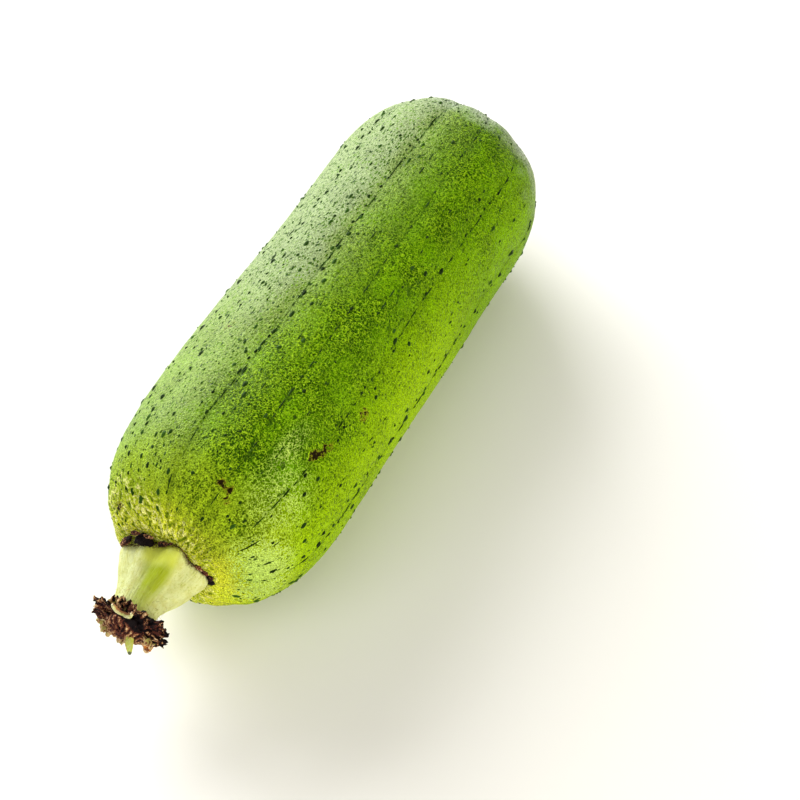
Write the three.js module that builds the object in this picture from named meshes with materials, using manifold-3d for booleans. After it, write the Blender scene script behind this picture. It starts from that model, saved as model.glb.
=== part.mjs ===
// Sponge gourd: a short, stocky, smooth fruit lying on its side, with its pale neck and withered
// flower at the blossom end and a short cut stalk at the other end.
// Millimetres, +Z up. The fruit lies along X with its blossom end towards -X. The origin is on the
// surface that it lies on, under the middle of its box.
import * as THREE from "three";
import { mergeVertices } from "three/addons/utils/BufferGeometryUtils.js";
import Module from "manifold-3d";

const wasm = await Module();
wasm.setup();

// Fruit: its outline from pole to pole, in millimetres
const FRUIT_LENGTH = 210.6;
const BLOSSOM_RADIUS = 38;
const STALK_RADIUS = 36.1;
const BLOSSOM_DOME = 51.7;
const STALK_DOME = 41.8;
const BLOSSOM_POLE_PULL = 0.623;
const STALK_SHOULDER_PULL = 0.714;
const STALK_POLE_PULL = 0.644;

// Where the fruit lies: its blossom pole along X, and how deep the flat spot is pressed
const BLOSSOM_POLE_X = -90.803;
const FLAT_DEPTH = 0.2;

// Relief of the skin. Angles go round the fruit in degrees, from +Y towards +Z.
const FURROW_ANGLES = [12, 54, 85, 111, 139, 178, 214, 250, 288, 330];
const FURROW_DEPTH = 0.65;
const FURROW_WIDTH = 2.4;
const RIB_SWELL = 0.35;
const FURROW_FADE_BLOSSOM = [14, 40];
const FURROW_FADE_STALK = [10, 34];
const FOLD_DEPTH = 0.35;
const FOLD_START = [13, 20];
const FOLD_END = [22, 50];
const LUMP_HEIGHT = 0.3;
const LUMP_WAVES = [
  { round: 2, along: 9, phase: 0 },
  { round: 3, along: -17, phase: 40 },
];
const SHOULDER_HEIGHT = 1.1;
const SHOULDER_RADIUS = 18;
const SHOULDER_WIDTH = 5;
const DIMPLE_DEPTH = 1.8;
const DIMPLE_RADIUS = 11;
const SKIN_ROWS = 32;
const FURROW_SIDE_STEPS = [3.4, 8.2];

// Warts: rows along the furrows and others strewn between them
const WART_SEED = 2617;
const WART_SPACING = 19;
const WART_LENGTH = 3.4;
const WART_WIDTH = 1.7;
const WART_HEIGHT = 0.75;
const WART_ROOT = 0.9;
const WART_SIZES = [0.75, 1.2];
const WART_STARTS = [34, 40];
const WART_JITTER = 8;
const WART_STRAYING = 7;
const BARE_STALK_END = 30;
const STRAY_WARTS = 28;
const STRAY_SIZES = [0.55, 0.95];
const STRAY_START = 26;

// Neck: a flare with five corners and one weak rib, which narrows to the flower. It starts beside
// the blossom pole, and its own angles also go from +Y towards +Z.
const NECK_AXIS = new THREE.Vector3(-0.985, -0.05, -0.1).normalize();
const NECK_OFFSET = new THREE.Vector3(-1.5, 3.5, -5.2);
const NECK_LOBES = [
  { angle: 8, width: 22, height: 5.0 },
  { angle: 56, width: 20, height: 1.4 },
  { angle: 114, width: 18, height: 6.2 },
  { angle: 170, width: 27, height: 6.3 },
  { angle: 235, width: 20, height: 4.8 },
  { angle: 300, width: 20, height: 4.6 },
];
// Each station: how far out, the core's radius, how much of the lobes is left, and the sideways bend
const NECK_STATIONS = [
  { out: -4.0, core: 7.6, lobes: 0.6, bend: 0 },
  { out: -1.4, core: 9.0, lobes: 0.86, bend: 0 },
  { out: 0.0, core: 9.6, lobes: 0.98, bend: 0 },
  { out: 1.8, core: 9.5, lobes: 1.0, bend: 0 },
  { out: 4.6, core: 8.8, lobes: 0.92, bend: 0.1 },
  { out: 7.8, core: 8.0, lobes: 0.76, bend: 0.4 },
  { out: 10.8, core: 7.4, lobes: 0.5, bend: 0.8 },
  { out: 14.2, core: 6.9, lobes: 0.28, bend: 1.1 },
  { out: 17.8, core: 6.7, lobes: 0.15, bend: 1.2 },
  { out: 21.2, core: 6.4, lobes: 0.1, bend: 1.2 },
];
const NECK_COLUMNS = 45;

// Withered flower: crumpled petals round a small core at the end of the neck
const FLOWER_SEED = 418;
const FLOWER_OUT = 24;
const FLOWER_BEND = 1.2;
const FLOWER_TURN = 0.05;
const FLOWER_CORE = new THREE.Vector3(2.9, 6.8, 6.4);
const CORE_LUMPS = 3;
const CORE_LUMP_SHARE = 0.12;
const PETAL_ROOT = 3.2;
const PETAL_THICKNESS = 0.9;
const PETAL_SLIM = 0.45;
const PETAL_SPREAD = [0.12, 0.8];
const PETAL_RAGGED = 0.1;
const PETAL_TEETH = 9;
const PETAL_WAVE = 1.1;
const PETAL_WAVES_ACROSS = 3.4;
const PETAL_WAVES_ALONG = 4;
// Each petal: its turn round the flower in degrees, then its root's way out, tilt, curl and size. The
// front ones leave a hollow between turns of 90 and 170 degrees.
const PETALS = [
  { turn: 20, out: -1.6, tilt: -0.15, curl: 0.1, length: 10.2, width: 8.0 },
  { turn: 62, out: -1.6, tilt: -0.2, curl: 0, length: 7.8, width: 8.5 },
  { turn: 100, out: -1.7, tilt: -0.15, curl: 0, length: 8.2, width: 8.0 },
  { turn: 126, out: -1.6, tilt: -0.15, curl: 0.1, length: 8.8, width: 7.5 },
  { turn: 158, out: -1.6, tilt: -0.15, curl: 0, length: 10.2, width: 8.0 },
  { turn: 196, out: -1.4, tilt: -0.12, curl: 0.1, length: 10.2, width: 8.5 },
  { turn: 348, out: -0.4, tilt: -0.05, curl: -0.2, length: 9.8, width: 8.0 },
  { turn: 322, out: -0.2, tilt: -0.05, curl: 0.1, length: 9.4, width: 8.0 },
  { turn: 297, out: 0.2, tilt: 0.05, curl: 0.1, length: 8.2, width: 7.5 },
  { turn: 268, out: 0, tilt: 0, curl: 0, length: 6.2, width: 8.0 },
  { turn: 236, out: 0.4, tilt: 0, curl: -0.1, length: 9.0, width: 8.5 },
  { turn: 178, out: -0.4, tilt: -0.1, curl: -0.2, length: 9.8, width: 8.0 },
];

// Two calyx lobes that are still green: one hangs past the flower, one is curled in front of it
const SEPAL_OUT = 1.2;
const SEPAL_LENGTH = 8.8;
const SEPAL_LEAN = 0.56;
const SEPAL_SIDE = -1.2;
const SEPAL_WIDTH = 3.1;
const SEPAL_THICKNESS = 1.6;
const SEPAL_SPREAD = [0.25, 0.97];
const CURL_ANGLE = 90;
const CURL_MIDDLE = 10.2;
const CURL_BOW = 3.4;
const CURL_BEND = 95;
const CURL_OUT = -0.7;
const CURL_BREADTH = 1.6;
const CURL_TAPER = 1.0;
const CURL_THICKNESS = 0.8;

// Corky scab in the crease round the foot of the neck
const SCAB_SEED = 77;
const SCAB_ARCS = [
  { from: 12, to: 102, size: 1.7 },
  { from: 148, to: 222, size: 1.5 },
];
const SCAB_STEP = 9;
const SCAB_OUTSIDE = 1.3;
const SCAB_OUT = -0.6;
const SCAB_JITTER = 0.6;
const SCAB_SIZES = [0.8, 1.3];

// Stalk: a short five-ribbed stub, cut off square
const STALK_DROP = 8;
const STALK_LENGTH = 4.2;
const STALK_ROOT = 5;
const STALK_STUB_RADIUS = 4.6;
const STALK_FOOT_RADIUS = 6.8;
const STALK_FOOT_RISE = 1.8;
const STALK_BEVEL = 0.5;
const STALK_RIBS = 5;
const STALK_RIB_HEIGHT = 0.55;
const STALK_COLUMNS = 30;

// Clear space kept between neighbouring pieces
const GAP = 0.3;

// How far rows of the skin's grid crowd towards its ends, and the step that finds its slope
const ROW_CROWDING = 0.45;
const SLOPE_STEP = 1e-3;

const UP = new THREE.Vector3(0, 0, 1);
const SIDE = new THREE.Vector3(0, 1, 0);
const { degToRad, lerp, smoothstep } = THREE.MathUtils;

// A repeatable random draw between 0 and 1.
function randomDraw(seed) {
  let state = seed;
  return () => {
    state = (state * 1664525 + 1013904223) % 4294967296;
    return state / 4294967296;
  };
}

// The smallest turn from one angle to another, in degrees.
function turnBetween(from, to) {
  return THREE.MathUtils.euclideanModulo(to - from + 180, 360) - 180;
}

function solid(geometry) {
  geometry.deleteAttribute("normal");
  geometry.deleteAttribute("uv");
  const merged = mergeVertices(geometry, 1e-4);
  const vertProperties = new Float32Array(merged.attributes.position.array);
  const triVerts = new Uint32Array(merged.index.array);
  return new wasm.Manifold(new wasm.Mesh({ numProp: 3, vertProperties, triVerts }));
}

function namedMesh(name, body, color, roughness) {
  const { vertProperties, triVerts } = body.getMesh();
  const geometry = new THREE.BufferGeometry();
  geometry.setAttribute("position", new THREE.BufferAttribute(vertProperties, 3));
  geometry.setIndex(new THREE.BufferAttribute(triVerts, 1));
  geometry.computeVertexNormals();
  const material = new THREE.MeshStandardMaterial({ color, roughness, metalness: 0 });
  const mesh = new THREE.Mesh(geometry, material);
  mesh.name = name;
  return mesh;
}

// A closed skin drawn over a globe's grid: the first and last rows are its poles.
function wrapped(columns, rows, place) {
  const geometry = new THREE.SphereGeometry(1, columns, rows);
  const point = new THREE.Vector3();
  for (let row = 0; row <= rows; row += 1) {
    for (let column = 0; column <= columns; column += 1) {
      place(column % columns, row, point);
      geometry.attributes.position.setXYZ(row * (columns + 1) + column, ...point);
    }
  }
  return solid(geometry);
}

// A thin closed blade: the same triangles on both faces, and a wall round its edge.
function blade(across, along, thickness, place) {
  const face = new THREE.PlaneGeometry(1, 1, across, along);
  const middle = face.attributes.position;
  const point = new THREE.Vector3();
  for (let row = 0; row <= along; row += 1) {
    for (let column = 0; column <= across; column += 1) {
      place((2 * column) / across - 1, row / along, point);
      middle.setXYZ(row * (across + 1) + column, ...point);
    }
  }
  face.computeVertexNormals();
  const count = middle.count;
  const positions = new Float32Array(count * 6);
  const normal = new THREE.Vector3();
  for (let i = 0; i < count; i += 1) {
    point.fromBufferAttribute(middle, i);
    normal.fromBufferAttribute(face.attributes.normal, i).multiplyScalar(thickness / 2);
    point.clone().add(normal).toArray(positions, i * 3);
    point.clone().sub(normal).toArray(positions, (count + i) * 3);
  }
  const index = [...face.index.array];
  for (let i = 0; i < face.index.count; i += 3) {
    const [a, b, c] = face.index.array.slice(i, i + 3);
    index.push(count + c, count + b, count + a);
  }
  const corner = (column, row) => row * (across + 1) + column;
  const edge = [];
  for (let row = 0; row < along; row += 1) edge.push(corner(0, row));
  for (let column = 0; column < across; column += 1) edge.push(corner(column, along));
  for (let row = along; row > 0; row -= 1) edge.push(corner(across, row));
  for (let column = across; column > 0; column -= 1) edge.push(corner(column, 0));
  edge.forEach((here, i) => {
    const next = edge[(i + 1) % edge.length];
    index.push(count + here, count + next, next, count + here, next, here);
  });
  const geometry = new THREE.BufferGeometry();
  geometry.setAttribute("position", new THREE.BufferAttribute(positions, 3));
  geometry.setIndex(index);
  return solid(geometry);
}

function union(bodies) {
  return bodies.reduce((joined, body) => joined.add(body));
}

// The largest body of a solid, without loose scraps.
function largest(body) {
  return body.decompose().reduce((a, b) => (b.volume() > a.volume() ? b : a));
}

// The fruit's outline, from the blossom pole to the stalk pole: x along it, y its radius.
const blossomShoulder = new THREE.Vector2(BLOSSOM_DOME, BLOSSOM_RADIUS);
const stalkShoulder = new THREE.Vector2(FRUIT_LENGTH - STALK_DOME, STALK_RADIUS);
const flankStep = (stalkShoulder.x - blossomShoulder.x) / 3;
const outline = new THREE.CurvePath();
outline.add(
  new THREE.CubicBezierCurve(
    new THREE.Vector2(0, 0),
    new THREE.Vector2(0, BLOSSOM_POLE_PULL * BLOSSOM_RADIUS),
    new THREE.Vector2(0, BLOSSOM_RADIUS),
    blossomShoulder,
  ),
);
outline.add(
  new THREE.CubicBezierCurve(
    blossomShoulder,
    new THREE.Vector2(blossomShoulder.x + flankStep, BLOSSOM_RADIUS),
    new THREE.Vector2(stalkShoulder.x - flankStep, STALK_RADIUS),
    stalkShoulder,
  ),
);
outline.add(
  new THREE.CubicBezierCurve(
    stalkShoulder,
    new THREE.Vector2(FRUIT_LENGTH - STALK_DOME * (1 - STALK_SHOULDER_PULL), STALK_RADIUS),
    new THREE.Vector2(FRUIT_LENGTH, STALK_POLE_PULL * STALK_RADIUS),
    new THREE.Vector2(FRUIT_LENGTH, 0),
  ),
);
const OUTLINE_LENGTH = outline.getLength();

// The underside runs level, so the middle line drops a little towards the slimmer stalk end.
const MIDDLE_SLOPE = (STALK_RADIUS - BLOSSOM_RADIUS) / (stalkShoulder.x - blossomShoulder.x);
function middleHeight(x) {
  return BLOSSOM_RADIUS - FLAT_DEPTH + (x - BLOSSOM_DOME) * MIDDLE_SLOPE;
}

// Columns of the skin's grid: one on each furrow, two close on each side and one half way between.
const columnAngles = FURROW_ANGLES.flatMap((angle, i) => {
  const gap = turnBetween(angle, FURROW_ANGLES[(i + 1) % FURROW_ANGLES.length]);
  const [near, far] = FURROW_SIDE_STEPS;
  return [0, near, far, gap / 2, gap - far, gap - near].map((step) => angle + step);
});

// Where an angle falls among the columns, as a number that counts them.
function columnAt(angle) {
  const first = columnAngles[0];
  const turned = THREE.MathUtils.euclideanModulo(angle - first, 360);
  const last = columnAngles.length - 1;
  let i = last;
  while (i > 0 && columnAngles[i] - first > turned) i -= 1;
  const start = columnAngles[i] - first;
  const end = i === last ? 360 : columnAngles[i + 1] - first;
  return i + (turned - start) / (end - start);
}

// How far the skin stands off its plain outline. `run` is the way from the blossom pole along it.
function relief(run, radius, angle) {
  const left = OUTLINE_LENGTH - run;
  const ends = smoothstep(run, ...FURROW_FADE_BLOSSOM) * smoothstep(left, ...FURROW_FADE_STALK);
  let furrows = 0;
  let swell = 0;
  FURROW_ANGLES.forEach((line, i) => {
    const gap = turnBetween(line, FURROW_ANGLES[(i + 1) % FURROW_ANGLES.length]);
    const turned = turnBetween(line, angle);
    furrows += Math.exp(-(((degToRad(turned) * radius) / FURROW_WIDTH) ** 2));
    const share = THREE.MathUtils.euclideanModulo(turned, 360) / gap;
    if (share < 1) swell = Math.sin(Math.PI * share) ** 2;
  });
  const across = radius * Math.cos(degToRad(angle));
  const above = radius * Math.sin(degToRad(angle));
  const fromNeck = run + Math.hypot(across - NECK_OFFSET.y, above - NECK_OFFSET.z) - radius;
  const folding = smoothstep(fromNeck, ...FOLD_START) * (1 - smoothstep(run, ...FOLD_END));
  const folds = Math.cos(Math.PI * columnAt(angle)) * folding;
  const lumps = LUMP_WAVES.reduce((sum, { round, along, phase }) => {
    return sum + Math.sin(degToRad(round * angle + phase) + (along * run) / OUTLINE_LENGTH);
  }, 0);
  const shoulder = Math.exp(-(((fromNeck - SHOULDER_RADIUS) / SHOULDER_WIDTH) ** 2));
  const fromStalk = left + Math.hypot(across, above + STALK_DROP) - radius;
  const dimple = Math.exp(-((fromStalk / DIMPLE_RADIUS) ** 2));
  return (
    ends * (RIB_SWELL * swell - FURROW_DEPTH * furrows) +
    FOLD_DEPTH * folds +
    LUMP_HEIGHT * ends * lumps +
    SHOULDER_HEIGHT * shoulder -
    DIMPLE_DEPTH * dimple
  );
}

// A point of the skin: `along` from 0 at the blossom pole to 1 at the stalk pole.
function skinPoint(along, angle, point) {
  const { x, y } = outline.getPoint(along);
  const run = along * OUTLINE_LENGTH;
  const before = outline.getPoint(Math.max(along - SLOPE_STEP, 0));
  const after = outline.getPoint(Math.min(along + SLOPE_STEP, 1));
  const atPole = along <= 0 || along >= 1;
  const tangent = atPole ? new THREE.Vector2(0, along <= 0 ? 1 : -1) : after.sub(before).normalize();
  const height = relief(run, y, angle);
  const out = atPole ? 0 : y + height * tangent.x;
  const turn = degToRad(angle);
  point.set(
    BLOSSOM_POLE_X + x - height * tangent.y,
    out * Math.cos(turn),
    middleHeight(x) + out * Math.sin(turn),
  );
  return point;
}

// The skin's grid has closer rows at both ends.
function rowAlong(row) {
  const even = 1 - row / SKIN_ROWS;
  return lerp(even, 0.5 - 0.5 * Math.cos(Math.PI * even), ROW_CROWDING);
}

function plainFruit() {
  return wrapped(columnAngles.length, SKIN_ROWS, (column, row, point) => {
    skinPoint(rowAlong(row), columnAngles[column], point);
  });
}

// A low, long wart with five sides, its root sunk into the skin.
function wart(along, angle, size) {
  const tall = WART_HEIGHT * size + WART_ROOT;
  const body = new THREE.CylinderGeometry(0.5, 1, 1, 5);
  body.scale((WART_WIDTH / 2) * size, tall, (WART_LENGTH / 2) * size);
  body.translate(0, tall / 2 - WART_ROOT, 0);
  const here = skinPoint(along, angle, new THREE.Vector3());
  const onward = skinPoint(along + 2 * SLOPE_STEP, angle, new THREE.Vector3()).sub(here).normalize();
  const round = skinPoint(along, angle + 1, new THREE.Vector3()).sub(here).normalize();
  const outward = round.clone().cross(onward).normalize();
  const across = outward.clone().cross(onward);
  body.applyMatrix4(new THREE.Matrix4().makeBasis(across, outward, onward).setPosition(here));
  return solid(body);
}

function warts() {
  const draw = randomDraw(WART_SEED);
  const made = [];
  FURROW_ANGLES.forEach((line, i) => {
    for (let run = WART_STARTS[i % 2]; run < OUTLINE_LENGTH - BARE_STALK_END; run += WART_SPACING) {
      const along = (run + (draw() - 0.5) * WART_JITTER) / OUTLINE_LENGTH;
      const angle = line + (draw() - 0.5) * WART_STRAYING;
      made.push(wart(along, angle, lerp(...WART_SIZES, draw())));
    }
  });
  for (let i = 0; i < STRAY_WARTS; i += 1) {
    const along = lerp(STRAY_START, OUTLINE_LENGTH - BARE_STALK_END, draw()) / OUTLINE_LENGTH;
    made.push(wart(along, draw() * 360, lerp(...STRAY_SIZES, draw())));
  }
  return made;
}

// The neck's own axes: outward along it, then two across it, nearest to +Y and to +Z.
const neckUp = UP.clone().addScaledVector(NECK_AXIS, -UP.dot(NECK_AXIS)).normalize();
const neckSide = NECK_AXIS.clone().cross(neckUp);
const neckBase = new THREE.Vector3(BLOSSOM_POLE_X, 0, middleHeight(0)).add(NECK_OFFSET);

function neckPoint(out, bend, radius, angle, point) {
  const turn = degToRad(angle);
  return point
    .copy(neckBase)
    .addScaledVector(NECK_AXIS, out)
    .addScaledVector(neckSide, bend + radius * Math.cos(turn))
    .addScaledVector(neckUp, radius * Math.sin(turn));
}

function neckRadius(station, angle) {
  const lobes = NECK_LOBES.reduce((sum, { angle: at, width, height }) => {
    return sum + height * Math.exp(-((turnBetween(at, angle) / width) ** 2));
  }, 0);
  return station.core + station.lobes * lobes;
}

// The neck, or the room that it needs when it is grown by the gap on every side.
function neck(grow) {
  const last = NECK_STATIONS.length - 1;
  return wrapped(NECK_COLUMNS, last + 2, (column, row, point) => {
    const i = THREE.MathUtils.clamp(row - 1, 0, last);
    const station = NECK_STATIONS[i];
    const end = i === 0 ? -1 : i === last ? 1 : 0;
    const angle = (column * 360) / NECK_COLUMNS;
    const capped = row === 0 || row === last + 2;
    const radius = capped ? 0 : neckRadius(station, angle) + grow;
    neckPoint(station.out + end * grow, station.bend, radius, angle, point);
  });
}

// The flower's middle, the way it faces and its two axes across.
const flowerMiddle = neckPoint(FLOWER_OUT, FLOWER_BEND, 0, 0, new THREE.Vector3());
const flowerAxis = NECK_AXIS.clone().addScaledVector(neckSide, FLOWER_TURN).normalize();
const flowerUp = UP.clone().addScaledVector(flowerAxis, -UP.dot(flowerAxis)).normalize();
const flowerSide = flowerAxis.clone().cross(flowerUp);

function flowerPoint(out, radius, turn, point) {
  return point
    .copy(flowerMiddle)
    .addScaledVector(flowerAxis, out)
    .addScaledVector(flowerSide, radius * Math.cos(turn))
    .addScaledVector(flowerUp, radius * Math.sin(turn));
}

function flowerCore() {
  const rows = 6;
  const columns = 12;
  return wrapped(columns, rows, (column, row, point) => {
    const fall = (Math.PI * row) / rows;
    const turn = (2 * Math.PI * column) / columns;
    const lumpy = 1 + CORE_LUMP_SHARE * Math.sin(CORE_LUMPS * turn + row) * Math.sin(fall);
    const radius = lumpy * Math.sin(fall) * lerp(FLOWER_CORE.y, FLOWER_CORE.z, Math.sin(turn) ** 2);
    flowerPoint(FLOWER_CORE.x * -Math.cos(fall), radius, turn, point);
  });
}

// A dried petal: narrow at its root, ragged and waved towards its tip, and bent back or forward.
function petal({ turn, out, tilt, curl, length, width }, phase) {
  return blade(3, 5, PETAL_THICKNESS, (across, along, point) => {
    const lean = tilt + curl * along;
    const reach = length * along;
    const full = Math.sin(Math.PI * lerp(...PETAL_SPREAD, along));
    const half = (width / 2) * lerp(PETAL_SLIM, 1, full);
    const ragged = 1 + PETAL_RAGGED * Math.sin(PETAL_TEETH * across + phase) * along;
    const bend = PETAL_WAVES_ACROSS * across + PETAL_WAVES_ALONG * along + phase;
    const wave = PETAL_WAVE * along * Math.sin(bend);
    const radius = PETAL_ROOT + reach * ragged * Math.cos(lean);
    const sideways = (across * half) / Math.max(radius, PETAL_ROOT + 2);
    flowerPoint(out + reach * Math.sin(lean) + wave, radius, degToRad(turn) - sideways, point);
  });
}

function petals() {
  const draw = randomDraw(FLOWER_SEED);
  return PETALS.map((shape) => petal(shape, draw() * 2 * Math.PI));
}

// A slim pointed lobe that stands out past the flower and leans to one side.
function hangingSepal(grow) {
  const rows = 6;
  const columns = 8;
  const axis = NECK_AXIS.clone().addScaledVector(neckSide, -SEPAL_LEAN).normalize();
  const broad = SIDE.clone().addScaledVector(axis, -SIDE.dot(axis)).normalize();
  const thin = axis.clone().cross(broad);
  return wrapped(columns, rows, (column, row, point) => {
    const along = 1 - row / rows;
    const turn = (2 * Math.PI * column) / columns;
    const capped = row === 0 || row === rows;
    const full = capped ? 0 : Math.sqrt(Math.sin(Math.PI * lerp(...SEPAL_SPREAD, along)));
    const ends = row === 0 ? grow : row === rows ? -grow : 0;
    point
      .copy(flowerMiddle)
      .addScaledVector(axis, SEPAL_OUT + SEPAL_LENGTH * along + 2 * ends)
      .addScaledVector(broad, SEPAL_SIDE + full * (SEPAL_WIDTH / 2 + grow) * Math.cos(turn))
      .addScaledVector(thin, full * (SEPAL_THICKNESS / 2 + grow) * Math.sin(turn));
  });
}

// A short lobe in front of the upper petals, curled into a trough that is open upwards.
function curledSepal(grow) {
  return blade(8, 2, CURL_THICKNESS + 2 * grow, (across, along, point) => {
    const bent = across * (degToRad(CURL_BEND) + grow / CURL_BOW);
    const breadth = CURL_BREADTH * Math.cos(CURL_TAPER * across) + 2 * grow;
    const side = CURL_BOW * Math.sin(bent);
    const up = CURL_MIDDLE - CURL_BOW * Math.cos(bent);
    const turn = degToRad(CURL_ANGLE) - Math.atan2(side, up);
    flowerPoint(CURL_OUT + (along - 0.5) * breadth, Math.hypot(side, up), turn, point);
  });
}

// Corky lumps in a chain, just outside the rim of the neck.
function scab() {
  const draw = randomDraw(SCAB_SEED);
  const rim = NECK_STATIONS[1];
  return SCAB_ARCS.flatMap(({ from, to, size }) => {
    const lumps = [];
    for (let angle = from; angle <= to; angle += SCAB_STEP) {
      const radius = neckRadius(rim, angle) + SCAB_OUTSIDE;
      const lump = new THREE.DodecahedronGeometry(size * lerp(...SCAB_SIZES, draw()));
      lump.rotateX(draw() * Math.PI).rotateZ(draw() * Math.PI);
      const place = new THREE.Vector3();
      lump.translate(...neckPoint(SCAB_OUT - SCAB_JITTER * draw(), rim.bend, radius, angle, place));
      lumps.push(solid(lump));
    }
    return lumps;
  });
}

// The stalk's stub, or the room that it needs when it is grown by the gap.
function stalk(grow) {
  const foot = BLOSSOM_POLE_X + FRUIT_LENGTH;
  const height = middleHeight(FRUIT_LENGTH) - STALK_DROP;
  const stations = [
    { x: -STALK_ROOT, radius: STALK_STUB_RADIUS },
    { x: -STALK_FOOT_RISE, radius: lerp(STALK_STUB_RADIUS, STALK_FOOT_RADIUS, 0.8) },
    { x: -STALK_FOOT_RISE / 4, radius: STALK_FOOT_RADIUS },
    { x: STALK_FOOT_RISE / 3, radius: lerp(STALK_STUB_RADIUS, STALK_FOOT_RADIUS, 0.6) },
    { x: STALK_FOOT_RISE, radius: lerp(STALK_STUB_RADIUS, STALK_FOOT_RADIUS, 0.15) },
    { x: STALK_LENGTH - STALK_BEVEL, radius: STALK_STUB_RADIUS },
    { x: STALK_LENGTH, radius: STALK_STUB_RADIUS - STALK_BEVEL },
  ];
  const last = stations.length - 1;
  return wrapped(STALK_COLUMNS, last + 2, (column, row, point) => {
    const i = THREE.MathUtils.clamp(last + 1 - row, 0, last);
    const end = i === 0 ? -grow : i === last ? grow : 0;
    const turn = (2 * Math.PI * column) / STALK_COLUMNS;
    const capped = row === 0 || row === last + 2;
    const radius = stations[i].radius + STALK_RIB_HEIGHT * Math.cos(STALK_RIBS * turn) + grow;
    const reach = capped ? 0 : radius;
    point.set(foot + stations[i].x + end, reach * Math.cos(turn), height + reach * Math.sin(turn));
  });
}

// The surface that the fruit lies on presses its flat spot.
function underSurface() {
  const slab = new THREE.BoxGeometry(FRUIT_LENGTH * 1.5, BLOSSOM_RADIUS * 3, BLOSSOM_RADIUS);
  slab.translate(0, 0, -BLOSSOM_RADIUS / 2);
  return solid(slab);
}

const fruit = union([plainFruit(), ...warts(), ...scab()])
  .subtract(neck(GAP))
  .subtract(stalk(GAP))
  .subtract(underSurface());
const flower = union([flowerCore(), ...petals()])
  .subtract(neck(GAP))
  .subtract(hangingSepal(GAP))
  .subtract(curledSepal(GAP));

const gourd = new THREE.Group();
gourd.name = "sponge_gourd";
gourd.add(
  namedMesh("gourd_fruit", largest(fruit), 0x6f9a1e, 0.55),
  namedMesh("blossom_neck", neck(0), 0xd9dd84, 0.6),
  namedMesh("withered_flower", largest(flower), 0x4a2c14, 0.95),
  namedMesh("hanging_calyx_lobe", hangingSepal(0), 0xb9c46a, 0.7),
  namedMesh("curled_calyx_lobe", curledSepal(0), 0xc9cf86, 0.7),
  namedMesh("stalk_stub", stalk(0), 0x8a9a4c, 0.8),
);

export default gourd;
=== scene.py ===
"""Sponge gourd: the looks, the stage and the camera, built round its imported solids.

Lengths are in millimetres until a mesh is placed, and angles in degrees. The fruit lies along X
with its blossom end towards -X. Angles round it go from +Y towards +Z, and `run` is the way along
its skin from the blossom pole.
"""

import math
from functools import partial

import bpy
import numpy as np
from bpy.props import FloatProperty, FloatVectorProperty, PointerProperty
from mathutils import Matrix, Vector, noise


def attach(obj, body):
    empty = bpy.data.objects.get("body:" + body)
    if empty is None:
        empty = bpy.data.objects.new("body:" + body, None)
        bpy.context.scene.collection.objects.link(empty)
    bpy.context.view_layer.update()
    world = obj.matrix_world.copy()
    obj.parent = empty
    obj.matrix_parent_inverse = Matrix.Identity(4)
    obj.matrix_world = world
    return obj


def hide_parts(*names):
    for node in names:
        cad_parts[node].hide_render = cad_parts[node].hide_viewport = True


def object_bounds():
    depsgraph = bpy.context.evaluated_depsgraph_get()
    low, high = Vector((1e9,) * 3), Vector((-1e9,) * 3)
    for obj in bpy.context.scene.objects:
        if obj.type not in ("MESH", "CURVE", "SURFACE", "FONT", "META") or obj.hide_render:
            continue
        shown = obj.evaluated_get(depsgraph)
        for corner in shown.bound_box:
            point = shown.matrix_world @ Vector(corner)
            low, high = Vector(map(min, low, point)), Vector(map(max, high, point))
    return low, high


bl_info = {
    "name": "Sponge Gourd",
    "version": (1, 0, 0),
    "blender": (4, 5, 0),
    "location": "3D View > Sidebar > Gourd",
    "description": "Builds a sponge gourd with its neck, withered flower and stalk, on a plain stage",
    "category": "Object",
}

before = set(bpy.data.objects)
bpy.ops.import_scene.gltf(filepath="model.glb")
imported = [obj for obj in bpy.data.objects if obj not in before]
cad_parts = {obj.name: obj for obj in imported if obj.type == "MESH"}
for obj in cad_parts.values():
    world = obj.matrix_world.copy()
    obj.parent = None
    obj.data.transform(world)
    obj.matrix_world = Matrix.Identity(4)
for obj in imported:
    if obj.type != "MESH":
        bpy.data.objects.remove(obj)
CAD_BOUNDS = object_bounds()
MM = 0.001
BOX_MARGIN = 0.02
MERGE_DISTANCE = 1e-6

# Fruit: its outline and where it lies, the same values as in the part's source
FRUIT_LENGTH = 210.6
BLOSSOM_RADIUS = 38.0
STALK_RADIUS = 36.1
BLOSSOM_DOME = 51.7
STALK_DOME = 41.8
BLOSSOM_POLE_PULL = 0.623
STALK_SHOULDER_PULL = 0.714
STALK_POLE_PULL = 0.644
BLOSSOM_POLE_X = -90.803
FLAT_DEPTH = 0.2
OUTLINE_POINTS = 400

# Relief of the skin, the same values as in the part's source but for gentler furrows
FURROW_ANGLES = [12, 54, 85, 111, 139, 178, 214, 250, 288, 330]
FURROW_DEPTH = 0.22
FURROW_WIDTH = 2.4
FURROW_SIDE_STEPS = (3.4, 8.2)
RIB_SWELL = 0.35
FURROW_FADE_BLOSSOM = (14, 40)
FURROW_FADE_STALK = (10, 34)
FOLD_DEPTH = 0.35
FOLD_START = (13, 20)
FOLD_END = (22, 50)
LUMP_HEIGHT = 0.3
LUMP_WAVES = [(2, 9, 0), (3, -17, 40)]
SHOULDER_HEIGHT = 1.1
SHOULDER_RADIUS = 18
SHOULDER_WIDTH = 5
DIMPLE_DEPTH = 1.8
DIMPLE_RADIUS = 11
STALK_DROP = 8
# Where the skin's swells are kept lower, so that the warts on them stay inside the solids' box: angle,
# half the width, depth
EASED_SIDES = [(356, 22, 0.6), (95, 16, 0.3)]

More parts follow.
